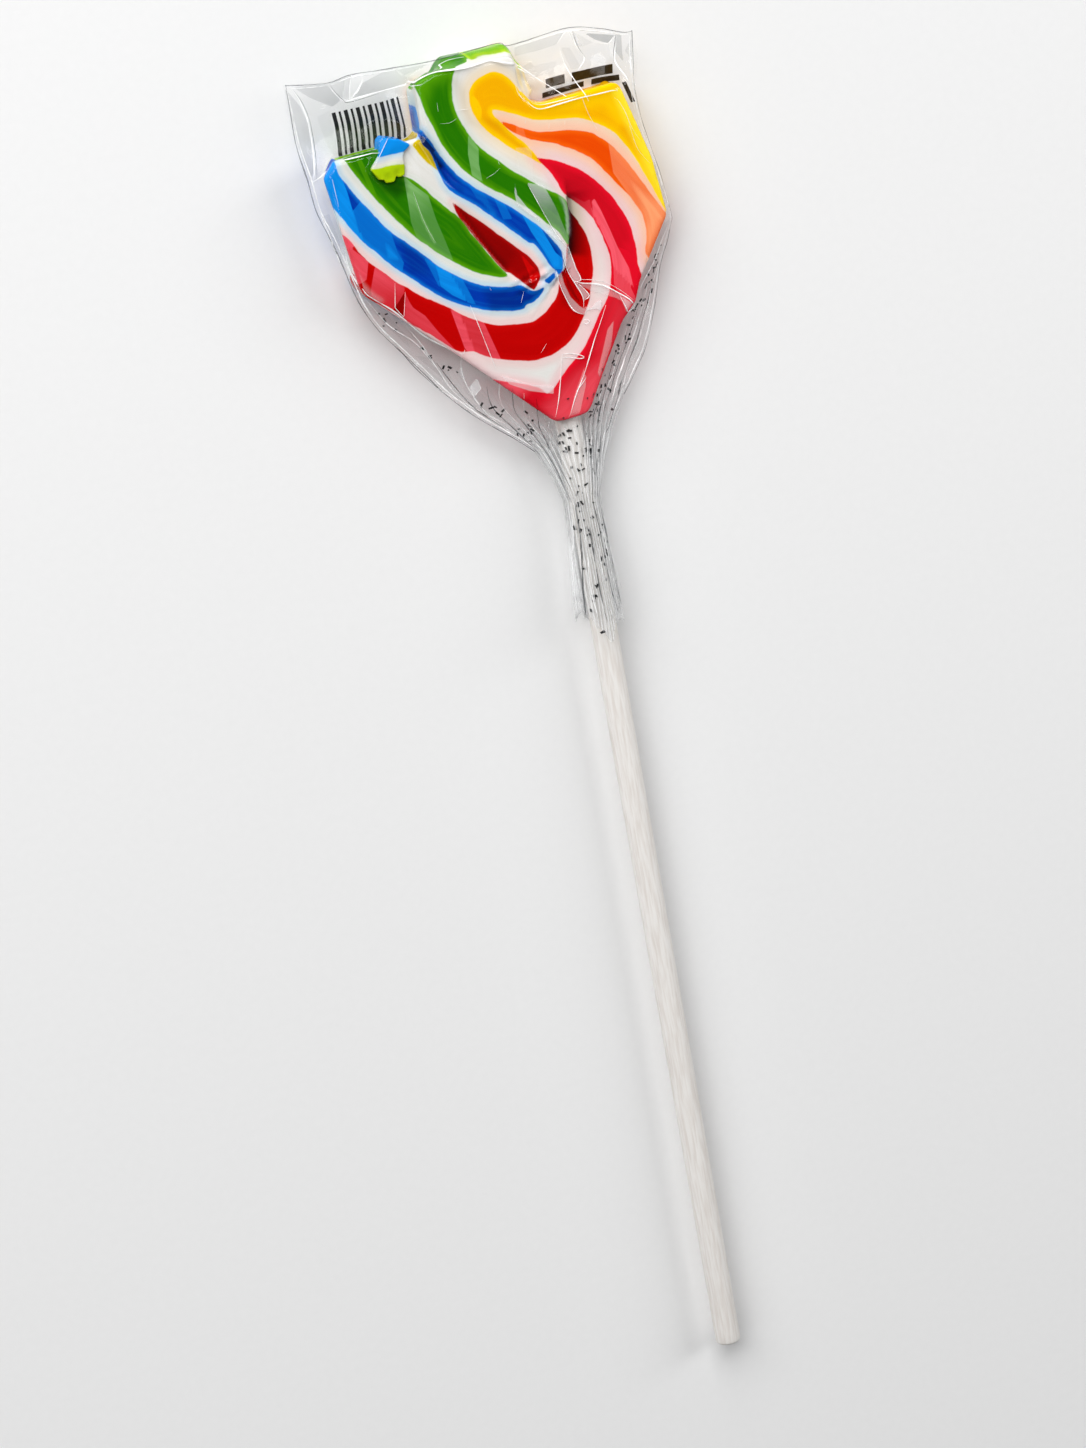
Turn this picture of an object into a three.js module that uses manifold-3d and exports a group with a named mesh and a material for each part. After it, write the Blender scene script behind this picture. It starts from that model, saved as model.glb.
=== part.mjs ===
// A hard-candy lollipop shaped like a spinning top, sealed in a clear film bag.
// It lies on its back: +Z is the shown face, +Y runs up to the handle, the stick runs to -Y.
// Shapes are drawn from the tip of the candy, where the stick comes out; the group then
// puts the middle of the whole lollipop's base at the origin. Millimetres throughout.
import * as THREE from "three";
import { mergeVertices } from "three/addons/utils/BufferGeometryUtils.js";
import Module from "manifold-3d";

// ---- Candy head: a body with slanting lower sides and a square handle on top ----
const WRAPPED_THICKNESS = 7.4; // candy with its film, back face to shown face
const EDGE_ROUNDING = 1.4; // the pressed candy's rounded rim
const HEAD_LEAN = THREE.MathUtils.degToRad(5.3); // the head sits askew on its stick
const BODY_LEFT = -25.9;
const BODY_RIGHT = 22.2;
const HANDLE_LEFT = -9.8;
const HANDLE_RIGHT = 5.4;
const HANDLE_TOP = 55.4;
const SHOULDER_HEIGHT = 47.2;
const LOWER_CORNER_HEIGHT = 27.0; // where the straight sides turn in towards the tip
const TIP_HALF_WIDTH = 2.6;

// ---- Creases between the pulled ropes, and the scrap of rope stuck on one shoulder ----
const CREASE_RADIUS = 0.7;
const SCRAP_HEIGHT = 0.9; // how far it stands above the shown face

// ---- Film bag: a flat tube, sealed across the top and gathered round the stick ----
const SEAL_HALF_THICKNESS = 0.4;
const FILM_FALL = 2.6; // how far from the candy's rim the film has mostly come down
const BAG_TOP = 57.2; // height of the sealed edge on the stick's line
const BAG_TOP_SLOPE = -0.13; // the sealed edge drops to the right
const NECK_Y = -13;
const NECK_RADIUS = 2.9;
const FILM_ON_STICK = 3.1; // radius of the film that lies over the stick above the neck
const TAIL_LENGTH = 20;
const TAIL_FLARE = 1.5; // how far the loose tail opens beyond the neck
const TAIL_RUFFLES = 5;
const PLEAT_DEPTH = 0.35;
const PLEATS = 7;

// ---- Stick ----
const STICK_DIAMETER = 4.0;
const STICK_LENGTH = 175;
const STICK_IN_CANDY = 19.6;
const STICK_END_ROUNDING = 0.35;
const GAP = 0.3; // round the stick, so that the two solids never touch

// ---- Fineness of the faceted surfaces ----
const BAG_RINGS = 46;
const BAG_COLUMNS = 20; // across one face of the bag
const STICK_SIDES = 32;

const MIDDLE_Z = WRAPPED_THICKNESS / 2;
const FLOOR_CLEARANCE = 0.25; // the loose tail stays this far above the base

const wasm = await Module();
wasm.setup();

// ---------------------------------------------------------------- small helpers

const smooth = (from, to, x) => THREE.MathUtils.smoothstep(x, from, to);

/** The value at `at` on a line through [position, value] pairs that run downwards. */
function alongEdge(edge, at) {
  if (at >= edge[0][0]) return edge[0][1];
  for (let i = 1; i < edge.length; i++) {
    const [low, lowValue] = edge[i];
    const [high, highValue] = edge[i - 1];
    if (at >= low) return THREE.MathUtils.mapLinear(at, low, high, lowValue, highValue);
  }
  return edge[edge.length - 1][1];
}

/** Turns head coordinates about the tip by the head's lean; below the tip the lean fades. */
function leanHead(geometry) {
  const position = geometry.attributes.position;
  for (let i = 0; i < position.count; i++) {
    const across = position.getX(i);
    const up = position.getY(i);
    const angle = HEAD_LEAN * smooth(-8, 4, up);
    position.setX(i, across * Math.cos(angle) - up * Math.sin(angle));
    position.setY(i, across * Math.sin(angle) + up * Math.cos(angle));
  }
  return geometry;
}

/** A closed geometry as a solid that can be joined and cut. */
function toSolid(geometry) {
  const bare = geometry.clone();
  bare.deleteAttribute("normal");
  bare.deleteAttribute("uv");
  const merged = mergeVertices(bare, 1e-4);
  return new wasm.Manifold(
    new wasm.Mesh({
      numProp: 3,
      vertProperties: merged.attributes.position.array,
      triVerts: new Uint32Array(merged.index.array),
    }),
  );
}

/** A solid as a geometry with flat-shaded normals. */
function toGeometry(solid) {
  const mesh = solid.getMesh();
  const geometry = new THREE.BufferGeometry();
  geometry.setAttribute("position", new THREE.BufferAttribute(mesh.vertProperties, 3));
  geometry.setIndex(new THREE.BufferAttribute(mesh.triVerts, 1));
  const faceted = geometry.toNonIndexed();
  faceted.computeVertexNormals();
  return faceted;
}

/** A closed outline through corner points, each rounded off by its own radius. */
function roundedOutline(corners) {
  const points = corners.map(([x, y]) => new THREE.Vector2(x, y));
  const outline = new THREE.Shape();
  corners.forEach(([, , radius], i) => {
    const corner = points[i];
    const before = points[(i + corners.length - 1) % corners.length];
    const after = points[(i + 1) % corners.length];
    const toBefore = before.clone().sub(corner).normalize();
    const toAfter = after.clone().sub(corner).normalize();
    const reach = radius / Math.tan(toBefore.angleTo(toAfter) / 2);
    const start = corner.clone().addScaledVector(toBefore, reach);
    const end = corner.clone().addScaledVector(toAfter, reach);
    if (i === 0) outline.moveTo(start.x, start.y);
    else outline.lineTo(start.x, start.y);
    outline.quadraticCurveTo(corner.x, corner.y, end.x, end.y);
  });
  outline.closePath();
  return outline;
}

// ---------------------------------------------------------------- candy

// Corner points and their radii, anticlockwise from the tip's right side.
const candyOutline = roundedOutline([
  [TIP_HALF_WIDTH, 0, 2.2],
  [11.2, 12.0, 12],
  [BODY_RIGHT, LOWER_CORNER_HEIGHT - 1.5, 2.6],
  [BODY_RIGHT, 35, 12],
  [20.5, SHOULDER_HEIGHT - 1.4, 2.0],
  [HANDLE_RIGHT + 1.6, SHOULDER_HEIGHT - 0.6, 3.2],
  [HANDLE_RIGHT, HANDLE_TOP - 0.9, 2.2],
  [HANDLE_LEFT, HANDLE_TOP + 0.3, 2.0],
  [HANDLE_LEFT - 0.6, SHOULDER_HEIGHT, 1.7],
  [BODY_LEFT, SHOULDER_HEIGHT + 0.7, 2.4],
  [BODY_LEFT + 0.4, LOWER_CORNER_HEIGHT + 1.0, 3.2],
  [-14.3, 14.6, 6],
  [-TIP_HALF_WIDTH, 0, 2.2],
]);
const outlinePoints = candyOutline.getPoints(3);

/** How far a point lies outside the candy's outline; nought anywhere inside it. */
function distanceFromCandy(across, up) {
  let inside = false;
  let nearest = Infinity;
  outlinePoints.forEach((a, i) => {
    const b = outlinePoints[(i + 1) % outlinePoints.length];
    const crosses = a.y > up !== b.y > up;
    if (crosses && across < ((b.x - a.x) * (up - a.y)) / (b.y - a.y) + a.x) inside = !inside;
    const side = { x: b.x - a.x, y: b.y - a.y };
    const length2 = side.x ** 2 + side.y ** 2 || 1;
    const along = ((across - a.x) * side.x + (up - a.y) * side.y) / length2;
    const share = THREE.MathUtils.clamp(along, 0, 1);
    const gap = Math.hypot(across - a.x - share * side.x, up - a.y - share * side.y);
    nearest = Math.min(nearest, gap);
  });
  return inside ? 0 : nearest;
}

/** A slab with rounded rims, standing from `bottom` to `top`. */
function roundedSlab(outline, bottom, top, rounding) {
  const slab = new THREE.ExtrudeGeometry(outline, {
    depth: top - bottom - 2 * rounding,
    bevelThickness: rounding,
    bevelSize: rounding,
    bevelOffset: -rounding,
    bevelSegments: 3,
    curveSegments: 3,
  });
  return slab.translate(0, 0, bottom + rounding);
}

/** A furrow pressed into the shown face along a smooth line of [across, up] points. */
function crease(points) {
  const line = new THREE.CatmullRomCurve3(
    points.map(([across, up]) => new THREE.Vector3(across, up, WRAPPED_THICKNESS)),
  );
  const section = new THREE.Shape().absarc(0, 0, CREASE_RADIUS, 0, 2 * Math.PI);
  return new THREE.ExtrudeGeometry(section, {
    steps: 14,
    extrudePath: line,
    bevelEnabled: false,
    curveSegments: 8,
  });
}

const candySlab = roundedSlab(candyOutline, 0, WRAPPED_THICKNESS, EDGE_ROUNDING);

// From the notch under the handle's left side, and down the middle to the ropes' curl.
const creases = [
  crease([[-11.4, 49], [-10.2, 45.6], [-8.6, 42.8], [-6.2, 39.8]]),
  crease([[7.0, 35], [7.9, 32.2], [7.3, 27], [5.9, 24], [3.4, 21.8]]),
];

const scrapOutline = roundedOutline([
  [-19.8, 45.4, 1.2],
  [-17.6, 42.5, 1.2],
  [-13.2, 46.4, 1.2],
  [-17.2, 49.2, 1.2],
]);
const ropeScrap = roundedSlab(scrapOutline, MIDDLE_Z, WRAPPED_THICKNESS + SCRAP_HEIGHT, 0.6);

// ---------------------------------------------------------------- film bag

// The bag's left and right edges from its top corners down to the neck, as [up, across].
const BAG_LEFT_EDGE = [
  [60.5, -27.6],
  [46, -28.8],
  [33, -27.0],
  [18.4, -23.2],
  [9.3, -18.2],
  [0.3, -11.4],
  [-5, -5.6],
  [-9, -4.0],
  [NECK_Y, -NECK_RADIUS],
];
const BAG_RIGHT_EDGE = [
  [54, 24.8],
  [45, 23.6],
  [34.7, 22.9],
  [23.6, 24.0],
  [12.2, 18.0],
  [3.1, 12.4],
  [-3.1, 7.0],
  [-8.2, 4.6],
  [NECK_Y, NECK_RADIUS],
];

/** Half the bag's thickness: candy-thick on the candy, falling to the sealed film. */
function filmHalfThickness(across, up) {
  const fall = Math.exp(-((distanceFromCandy(across, up) / FILM_FALL) ** 1.3));
  const seal = smooth(BAG_TOP - 3.5, BAG_TOP - 0.5, up - BAG_TOP_SLOPE * across);
  const bulge = (MIDDLE_Z - 0.3 - SEAL_HALF_THICKNESS) * fall * (1 - seal);
  const overStick = up < 4 ? Math.sqrt(Math.max(0, FILM_ON_STICK ** 2 - across ** 2)) : 0;
  return Math.max(SEAL_HALF_THICKNESS + bulge, overStick);
}

/** One ring of the bag's skin at height `up`, from left to right and back underneath. */
function bagRing(up) {
  const left = alongEdge(BAG_LEFT_EDGE, up);
  const right = alongEdge(BAG_RIGHT_EDGE, up);
  const round = 1 - smooth(NECK_Y, -1, up); // 1 where the film lies round the stick
  const tail = 1 - smooth(NECK_Y - TAIL_LENGTH, NECK_Y, up);
  const gather = 1 - smooth(-4, 14, up);
  const ring = [];
  for (let k = 0; k < 2 * BAG_COLUMNS; k++) {
    const turn = (Math.PI * k) / BAG_COLUMNS;
    const ruffle = tail * TAIL_FLARE * (0.55 + 0.45 * Math.cos(TAIL_RUFFLES * turn + 0.8));
    const halfWidth = (right - left) / 2 + ruffle;
    const across = (left + right) / 2 - halfWidth * Math.cos(turn);
    const height = up + BAG_TOP_SLOPE * across * smooth(46, BAG_TOP, up);
    const lens = Math.min(1, Math.abs(Math.sin(turn)) / 0.4) ** 0.6;
    const pleat = 1 - PLEAT_DEPTH * gather * (1 - round) * (0.5 + 0.5 * Math.cos(2 * PLEATS * turn));
    const flat = filmHalfThickness(across, height) * lens * pleat;
    const circle = (NECK_RADIUS + ruffle) * Math.abs(Math.sin(turn));
    const rise = Math.sign(Math.sin(turn)) * THREE.MathUtils.lerp(flat, circle, round);
    ring.push([across, height, Math.max(MIDDLE_Z + rise, FLOOR_CLEARANCE)]);
  }
  return ring;
}

/** A closed skin over rings that all have the same number of points. */
function loft(rings) {
  const sides = rings[0].length;
  const points = rings.flat();
  const faces = [];
  rings.slice(1).forEach((_, row) => {
    for (let k = 0; k < sides; k++) {
      const next = (k + 1) % sides;
      const [a, b] = [row * sides + k, row * sides + next];
      faces.push(a, b + sides, b, a, a + sides, b + sides);
    }
  });
  [0, rings.length - 1].forEach((row) => {
    const ring = rings[row];
    const middle = points.length;
    points.push([0, 1, 2].map((axis) => ring.reduce((sum, p) => sum + p[axis], 0) / sides));
    for (let k = 0; k < sides; k++) {
      const [a, b] = [row * sides + k, row * sides + ((k + 1) % sides)];
      if (row === 0) faces.push(middle, a, b);
      else faces.push(middle, b, a);
    }
  });
  const geometry = new THREE.BufferGeometry();
  geometry.setAttribute("position", new THREE.Float32BufferAttribute(points.flat(), 3));
  geometry.setIndex(faces);
  return geometry;
}

const bagHeights = Array.from({ length: BAG_RINGS }, (_, i) =>
  THREE.MathUtils.lerp(BAG_TOP, NECK_Y - TAIL_LENGTH, i / (BAG_RINGS - 1)),
);
const filmSkin = loft(bagHeights.map(bagRing));

// ---------------------------------------------------------------- stick

/** A round rod along Y between two heights, its ends slightly rounded off. */
function rodAlongY(radius, from, to, rounding) {
  const profile = new THREE.Path();
  profile.moveTo(0, from);
  profile.lineTo(radius - rounding, from);
  if (rounding) profile.absarc(radius - rounding, from + rounding, rounding, -Math.PI / 2, 0, false);
  if (rounding) profile.absarc(radius - rounding, to - rounding, rounding, 0, Math.PI / 2, false);
  else profile.lineTo(radius, to);
  profile.lineTo(0, to);
  return new THREE.LatheGeometry(profile.getPoints(3), STICK_SIDES).translate(0, 0, MIDDLE_Z);
}

const stickGeometry = rodAlongY(
  STICK_DIAMETER / 2,
  STICK_IN_CANDY - STICK_LENGTH,
  STICK_IN_CANDY,
  STICK_END_ROUNDING,
);
const stickBore = rodAlongY(
  STICK_DIAMETER / 2 + GAP,
  NECK_Y - TAIL_LENGTH - 1,
  STICK_IN_CANDY + GAP,
  0,
);

// ---------------------------------------------------------------- assembly

/** Candy and film as one solid, the film drawn into the creases, bored for the stick. */
function wrappedCandyGeometry() {
  const [candy, scrap, film, ...furrows] = [candySlab, ropeScrap, filmSkin, ...creases].map((shape) =>
    toSolid(leanHead(shape)),
  );
  const wrapped = furrows.reduce((solid, furrow) => solid.subtract(furrow), candy.add(scrap).add(film));
  return toGeometry(wrapped.subtract(toSolid(stickBore)));
}

const wrappedCandy = new THREE.Mesh(
  wrappedCandyGeometry(),
  new THREE.MeshStandardMaterial({ color: 0xd9432f, roughness: 0.15, metalness: 0 }),
);
wrappedCandy.name = "wrapped_candy";

const stick = new THREE.Mesh(
  stickGeometry,
  new THREE.MeshStandardMaterial({ color: 0xf4f4f2, roughness: 0.6, metalness: 0 }),
);
stick.name = "stick";

const lollipop = new THREE.Group();
lollipop.name = "lollipop";
lollipop.add(wrappedCandy, stick);

// The origin is the middle of the base that the whole lollipop covers.
const extent = new THREE.Box3().setFromObject(lollipop, true);
const centre = extent.getCenter(new THREE.Vector3());
lollipop.position.set(-centre.x, -centre.y, -extent.min.z);

export default lollipop;
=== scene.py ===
"""A spinning-top-shaped hard-candy lollipop in a clear film bag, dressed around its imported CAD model.

The candy lies on its back with the shown face up. Shapes are drawn in head millimetres: `across` and
`up` from the candy's tip, where the stick comes out, and a height above the floor. The head sits a
little askew on its stick, and `Placement` turns head millimetres into the frame's metres.
"""

import logging
import math
import random
from dataclasses import dataclass
from enum import Enum
from typing import Any, Sequence

import bpy
import numpy as np
from mathutils import Matrix, Vector


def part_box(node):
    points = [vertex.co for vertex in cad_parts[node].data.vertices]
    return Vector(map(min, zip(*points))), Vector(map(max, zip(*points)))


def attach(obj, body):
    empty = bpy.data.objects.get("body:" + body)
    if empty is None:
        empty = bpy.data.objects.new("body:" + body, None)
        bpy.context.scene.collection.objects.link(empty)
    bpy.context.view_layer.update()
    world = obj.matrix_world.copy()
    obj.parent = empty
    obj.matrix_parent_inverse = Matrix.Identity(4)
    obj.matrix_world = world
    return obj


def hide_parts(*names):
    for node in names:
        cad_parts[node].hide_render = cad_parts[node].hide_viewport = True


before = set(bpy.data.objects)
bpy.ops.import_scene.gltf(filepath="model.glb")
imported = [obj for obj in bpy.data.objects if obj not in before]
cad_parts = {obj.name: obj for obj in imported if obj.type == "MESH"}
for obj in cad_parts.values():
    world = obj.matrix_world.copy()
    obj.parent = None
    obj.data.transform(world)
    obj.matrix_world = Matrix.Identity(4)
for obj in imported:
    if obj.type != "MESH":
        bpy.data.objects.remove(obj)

log = logging.getLogger("lollipop")

MM = 0.001  # one millimetre in metres
Points = Sequence[tuple[float, float]]  # [across, up] in head millimetres

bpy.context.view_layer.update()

# ---------------------------------------------------------------- shape helpers


def smoothstep(low: float, high: float, x: np.ndarray) -> np.ndarray:
    """A smooth rise from 0 at `low` to 1 at `high`."""
    t = np.clip((np.asarray(x, float) - low) / (high - low), 0.0, 1.0)
    return t * t * (3.0 - 2.0 * t)


def triangle_wave(x: np.ndarray) -> np.ndarray:
    """A zigzag between 0 and 1 with flat flanks, one turn for each unit of x."""
    return np.abs(2.0 * (x - np.floor(x + 0.5)))


def ripples(across: np.ndarray, up: np.ndarray, seed: float) -> np.ndarray:
    """A gentle unevenness about 0, within 1, that changes over about one unit.

    Args:
        across: First coordinate, already divided by the wanted wavelength.
        up: Second coordinate, likewise.
        seed: Shifts the pattern, so that two uses differ.

    Returns:
        The unevenness at each point.
    """
    x, y = across + seed * 1.7, up - seed * 2.3
    total = np.sin(1.9 * x + 1.3 * np.sin(1.1 * y + seed)) + np.sin(2.3 * y + 1.7 * np.sin(0.9 * x))
    return (total + np.sin(1.4 * (x + y) + 2.0 * np.sin(0.7 * (x - y) + seed))) / 3.0


def smooth_line(points: Points, closed: bool, steps: int = 4) -> np.ndarray:
    """A Catmull-Rom curve through points.

    Args:
        points: The points it passes through.
        closed: Whether it runs back to its start.
        steps: How many short sides each span gets.

    Returns:
        Points along the curve, as an array of two columns.
    """
    knots = np.asarray(points, float)
    if closed:
        before, after, further = np.roll(knots, 1, 0), np.roll(knots, -1, 0), np.roll(knots, -2, 0)
        start = knots
    else:
        start, after = knots[:-1], knots[1:]
        before = np.vstack([knots[:1], knots[:-2]])
        further = np.vstack([knots[2:], knots[-1:]])
    spans = []
    for t in np.arange(steps) / steps:
        spans.append(
            0.5
            * (
                2 * start
                + (after - before) * t
                + (2 * before - 5 * start + 4 * after - further) * t**2
                + (3 * start - before - 3 * after + further) * t**3
            )
        )
    line = np.stack(spans, 1).reshape(-1, 2)
    return line if closed else np.vstack([line, knots[-1:]])


def rounded_outline(corners: Sequence[tuple[float, float, float]], steps: int = 6) -> np.ndarray:
    """A closed outline through corners, each rounded off by its own radius.

    Args:
        corners: (across, up, radius) of each corner, in order.
        steps: How many short sides each rounding gets.

    Returns:
        The outline's points, as an array of two columns.
    """
    outline = []
    for i, (x, y, radius) in enumerate(corners):
        corner = np.array([x, y])
        to_before = np.array(corners[i - 1][:2]) - corner
        to_after = np.array(corners[(i + 1) % len(corners)][:2]) - corner
        to_before /= np.linalg.norm(to_before)
        to_after /= np.linalg.norm(to_after)
        reach = radius / math.tan(math.acos(float(np.clip(to_before @ to_after, -1, 1))) / 2)
        first, last = corner + to_before * reach, corner + to_after * reach
        for t in np.linspace(0, 1, steps):
            outline.append((1 - t) ** 2 * first + 2 * t * (1 - t) * corner + t**2 * last)
    return np.array(outline)


def inside_by(places: np.ndarray, outline: np.ndarray) -> np.ndarray:
    """How far inside a closed outline each place lies; negative outside.

    Args:
        places: Points, as an array whose first two columns are across and up.
        outline: The closed outline's points.

    Returns:
        The signed distance of each place.
    """
    x, y = places[:, 0], places[:, 1]
    nearest = np.full(len(places), np.inf)
    inside = np.zeros(len(places), bool)
    for (ax, ay), (bx, by) in zip(outline, np.roll(outline, -1, 0)):
        side_x, side_y = bx - ax, by - ay
        length2 = side_x**2 + side_y**2
        if length2 == 0:
            continue
        share = np.clip(((x - ax) * side_x + (y - ay) * side_y) / length2, 0, 1)
        gap = (x - ax - share * side_x) ** 2 + (y - ay - share * side_y) ** 2
        np.minimum(nearest, gap, out=nearest)
        if side_y:
            inside ^= ((ay > y) != (by > y)) & (x < side_x * (y - ay) / side_y + ax)
    return np.where(inside, 1, -1) * np.sqrt(nearest)


def beside_line(places: np.ndarray, line: np.ndarray) -> tuple[np.ndarray, np.ndarray]:
    """Where each place lies along and beside an open line.

    Args:
        places: Points, as an array whose first two columns are across and up.
        line: The line's points.

    Returns:
        The distance from the line, positive to its left, and the share of its length run.
    """
    x, y = places[:, 0], places[:, 1]
    sides = np.diff(line, axis=0)
    lengths = np.hypot(sides[:, 0], sides[:, 1])
    run = np.concatenate([[0], np.cumsum(lengths)])
    nearest = np.full(len(places), np.inf)
    signed = np.zeros(len(places))
    along = np.zeros(len(places))
    for i, (side_x, side_y) in enumerate(sides):
        dx, dy = x - line[i, 0], y - line[i, 1]
        share = np.clip((dx * side_x + dy * side_y) / lengths[i] ** 2, 0, 1)
        gap = np.hypot(dx - share * side_x, dy - share * side_y)
        better = gap < nearest
        nearest[better] = gap[better]
        turned = np.where(side_x * dy - side_y * dx >= 0, 1.0, -1.0)
        signed[better] = (gap * turned)[better]
        along[better] = ((run[i] + share * lengths[i]) / run[-1])[better]
    return signed, along


# ---------------------------------------------------------------- placement


@dataclass(frozen=True)
class Placement:
    """Turns head millimetres into the frame's metres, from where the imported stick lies."""

    lean: float = math.radians(5.3)  # the head sits askew on its stick
    stick_shown: float = 155.4  # from the stick's end to the candy's tip
    lean_from: float = -8.0  # below here the film lies straight on the stick
    lean_to: float = 4.0

    @property
    def tip(self) -> Vector:
        """The candy's tip on the floor, in metres."""
        low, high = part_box("stick")
        return Vector(((low.x + high.x) / 2, low.y + self.stick_shown * MM, 0))

    @property
    def middle(self) -> float:
        """Height of the stick's centre line, in millimetres."""
        low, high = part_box("stick")
        return (low.z + high.z) / 2 / MM

    def place(self, places: np.ndarray) -> np.ndarray:
        """Head millimetres to the frame's metres.

        Args:
            places: An array of across, up and height.

        Returns:
            An array of x, y and z.
        """
        across, up, height = places.T
        angle = self.lean * smoothstep(self.lean_from, self.lean_to, up)
        x = self.tip.x + (across * np.cos(angle) - up * np.sin(angle)) * MM
        y = self.tip.y + (across * np.sin(angle) + up * np.cos(angle)) * MM
        return np.column_stack([x, y, height * MM])


# ---------------------------------------------------------------- mesh helpers


def deselect_all() -> None:
    """Leaves nothing selected, so that the next operator acts on its own piece alone."""
    if bpy.context.object and bpy.context.object.mode != "OBJECT":
        bpy.ops.object.mode_set(mode="OBJECT")
    bpy.ops.object.select_all(action="DESELECT")


def positions(piece: bpy.types.Object) -> np.ndarray:
    """The vertices of a piece, as an array of three columns.

    Args:
        piece: The piece.

    Returns:
        The places, in the frame's units.
    """
    flat = np.empty(len(piece.data.vertices) * 3)
    piece.data.vertices.foreach_get("co", flat)
    return flat.reshape(-1, 3)


def move_to(piece: bpy.types.Object, places: np.ndarray) -> None:
    """Puts the vertices of a piece at new places."""
    piece.data.vertices.foreach_set("co", np.ascontiguousarray(places, float).ravel())
    piece.data.update()


def give_values(piece: bpy.types.Object, name: str, values: np.ndarray) -> None:
    """Stores one number for each vertex, for a material to read as an attribute."""
    attribute = piece.data.attributes.new(name, "FLOAT", "POINT")
    attribute.data.foreach_set("value", np.ascontiguousarray(values, np.float32))


def apply_modifier(piece: bpy.types.Object, kind: str, **settings: Any) -> None:
    """Adds a modifier to a piece, with its settings, and applies it.

    Args:
        piece: The piece.
        kind: The modifier's type, such as REMESH.
        settings: Its properties.
    """
    bpy.context.view_layer.objects.active = piece
    modifier = piece.modifiers.new(kind.title(), kind)
    for name, value in settings.items():
        setattr(modifier, name, value)
    bpy.ops.object.modifier_apply(modifier=modifier.name)


def new_grid(name: str, columns: int, rows: int) -> bpy.types.Object:
    """A flat grid of quads, one unit square, whose vertices run row by row.

    Args:
        name: The piece's name.
        columns: How many vertices lie in a row.
        rows: How many rows there are.

    Returns:
        The new object, selected and active.
    """
    deselect_all()
    bpy.ops.mesh.primitive_grid_add(x_subdivisions=columns - 1, y_subdivisions=rows - 1, size=1)
    piece = bpy.context.object
    piece.name = piece.data.name = name
    return piece


def new_slab(name: str, outline: np.ndarray, bottom: float, top: float, voxel: float) -> bpy.types.Object:
    """A flat slab with the given outline, remeshed evenly so that it can be shaped.

    Args:
        name: The piece's name.
        outline: The closed outline, in millimetres.
        bottom: Height of its underside, in millimetres.
        top: Height of its shown face, in millimetres.
        voxel: Size of the even mesh, in millimetres.

    Returns:
        The new object, in millimetres until it is placed.
    """
    deselect_all()
    bpy.ops.mesh.primitive_circle_add(vertices=len(outline), radius=1, fill_type="NGON")
    piece = bpy.context.object
    piece.name = piece.data.name = name
    move_to(piece, np.column_stack([outline, np.full(len(outline), bottom)]))
    bpy.ops.object.mode_set(mode="EDIT")
    bpy.ops.mesh.select_all(action="SELECT")
    bpy.ops.mesh.extrude_region_move(TRANSFORM_OT_translate={"value": (0, 0, top - bottom)})
    bpy.ops.mesh.select_all(action="SELECT")
    bpy.ops.mesh.normals_make_consistent(inside=False)
    bpy.ops.object.mode_set(mode="OBJECT")
    apply_modifier(piece, "REMESH", mode="VOXEL", voxel_size=voxel)
    return piece


def join_pieces(pieces: Sequence[bpy.types.Object], name: str) -> bpy.types.Object:
    """Joins pieces into the first one and names it.

    Args:
        pieces: At least one piece.
        name: The name of the whole.

    Returns:
        The joined piece.
    """
    deselect_all()
    for piece in pieces:
        piece.select_set(True)
    bpy.context.view_layer.objects.active = pieces[0]
    if len(pieces) > 1:
        bpy.ops.object.join()
    pieces[0].name = pieces[0].data.name = name
    return pieces[0]


def smooth_shaded(piece: bpy.types.Object, angle: float | None = None) -> None:
    """Shades a piece smoothly, or only across edges flatter than an angle in degrees.

    Args:
        piece: The piece.
        angle: Steeper edges than this stay sharp; None for none.
    """
    deselect_all()
    piece.select_set(True)
    bpy.context.view_layer.objects.active = piece
    if angle is None:
        bpy.ops.object.shade_smooth()
    else:
        bpy.ops.object.shade_smooth_by_angle(angle=math.radians(angle))


# ---------------------------------------------------------------- material helpers

# Settings and socket numbers of the nodes used most.
TIMES = {"operation": "MULTIPLY"}
MINUS = {"operation": "SUBTRACT"}
COLOURS = {"data_type": "RGBA"}
SHARE, FIRST, SECOND, MIXED = 0, 6, 7, 2  # of a Mix node on colours; the last is its output
SMOOTH = {"interpolation_type": "SMOOTHSTEP"}
VALUE, LOW, HIGH, AT_LOW, AT_HIGH = range(5)  # of a Map Range node


def linear(colour: str) -> tuple[float, float, float, float]:
    """An sRGB hex colour as linear red, green, blue and alpha."""
    channels = [int(colour[i : i + 2], 16) / 255 for i in (1, 3, 5)]
    return (*[c / 12.92 if c <= 0.04045 else ((c + 0.055) / 1.055) ** 2.4 for c in channels], 1.0)


def add_node(
    tree: bpy.types.NodeTree,
    kind: str,
    settings: dict[str, Any] | None = None,
    inputs: dict[str | int, Any] | None = None,
) -> bpy.types.Node:
    """Adds a node with its settings and links.

    Args:
        tree: The material's node tree.
        kind: The node's type, such as ShaderNodeMath.
        settings: Its properties.
        inputs: Its sockets, by name or number; a value is an output socket or a plain value.

    Returns:
        The new node.
    """
    node = tree.nodes.new(kind)
    for name, value in (settings or {}).items():
        setattr(node, name, value)
    for name, value in (inputs or {}).items():
        if isinstance(value, bpy.types.NodeSocket):
            tree.links.new(value, node.inputs[name])
        else:
            node.inputs[name].default_value = value
    return node


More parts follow.
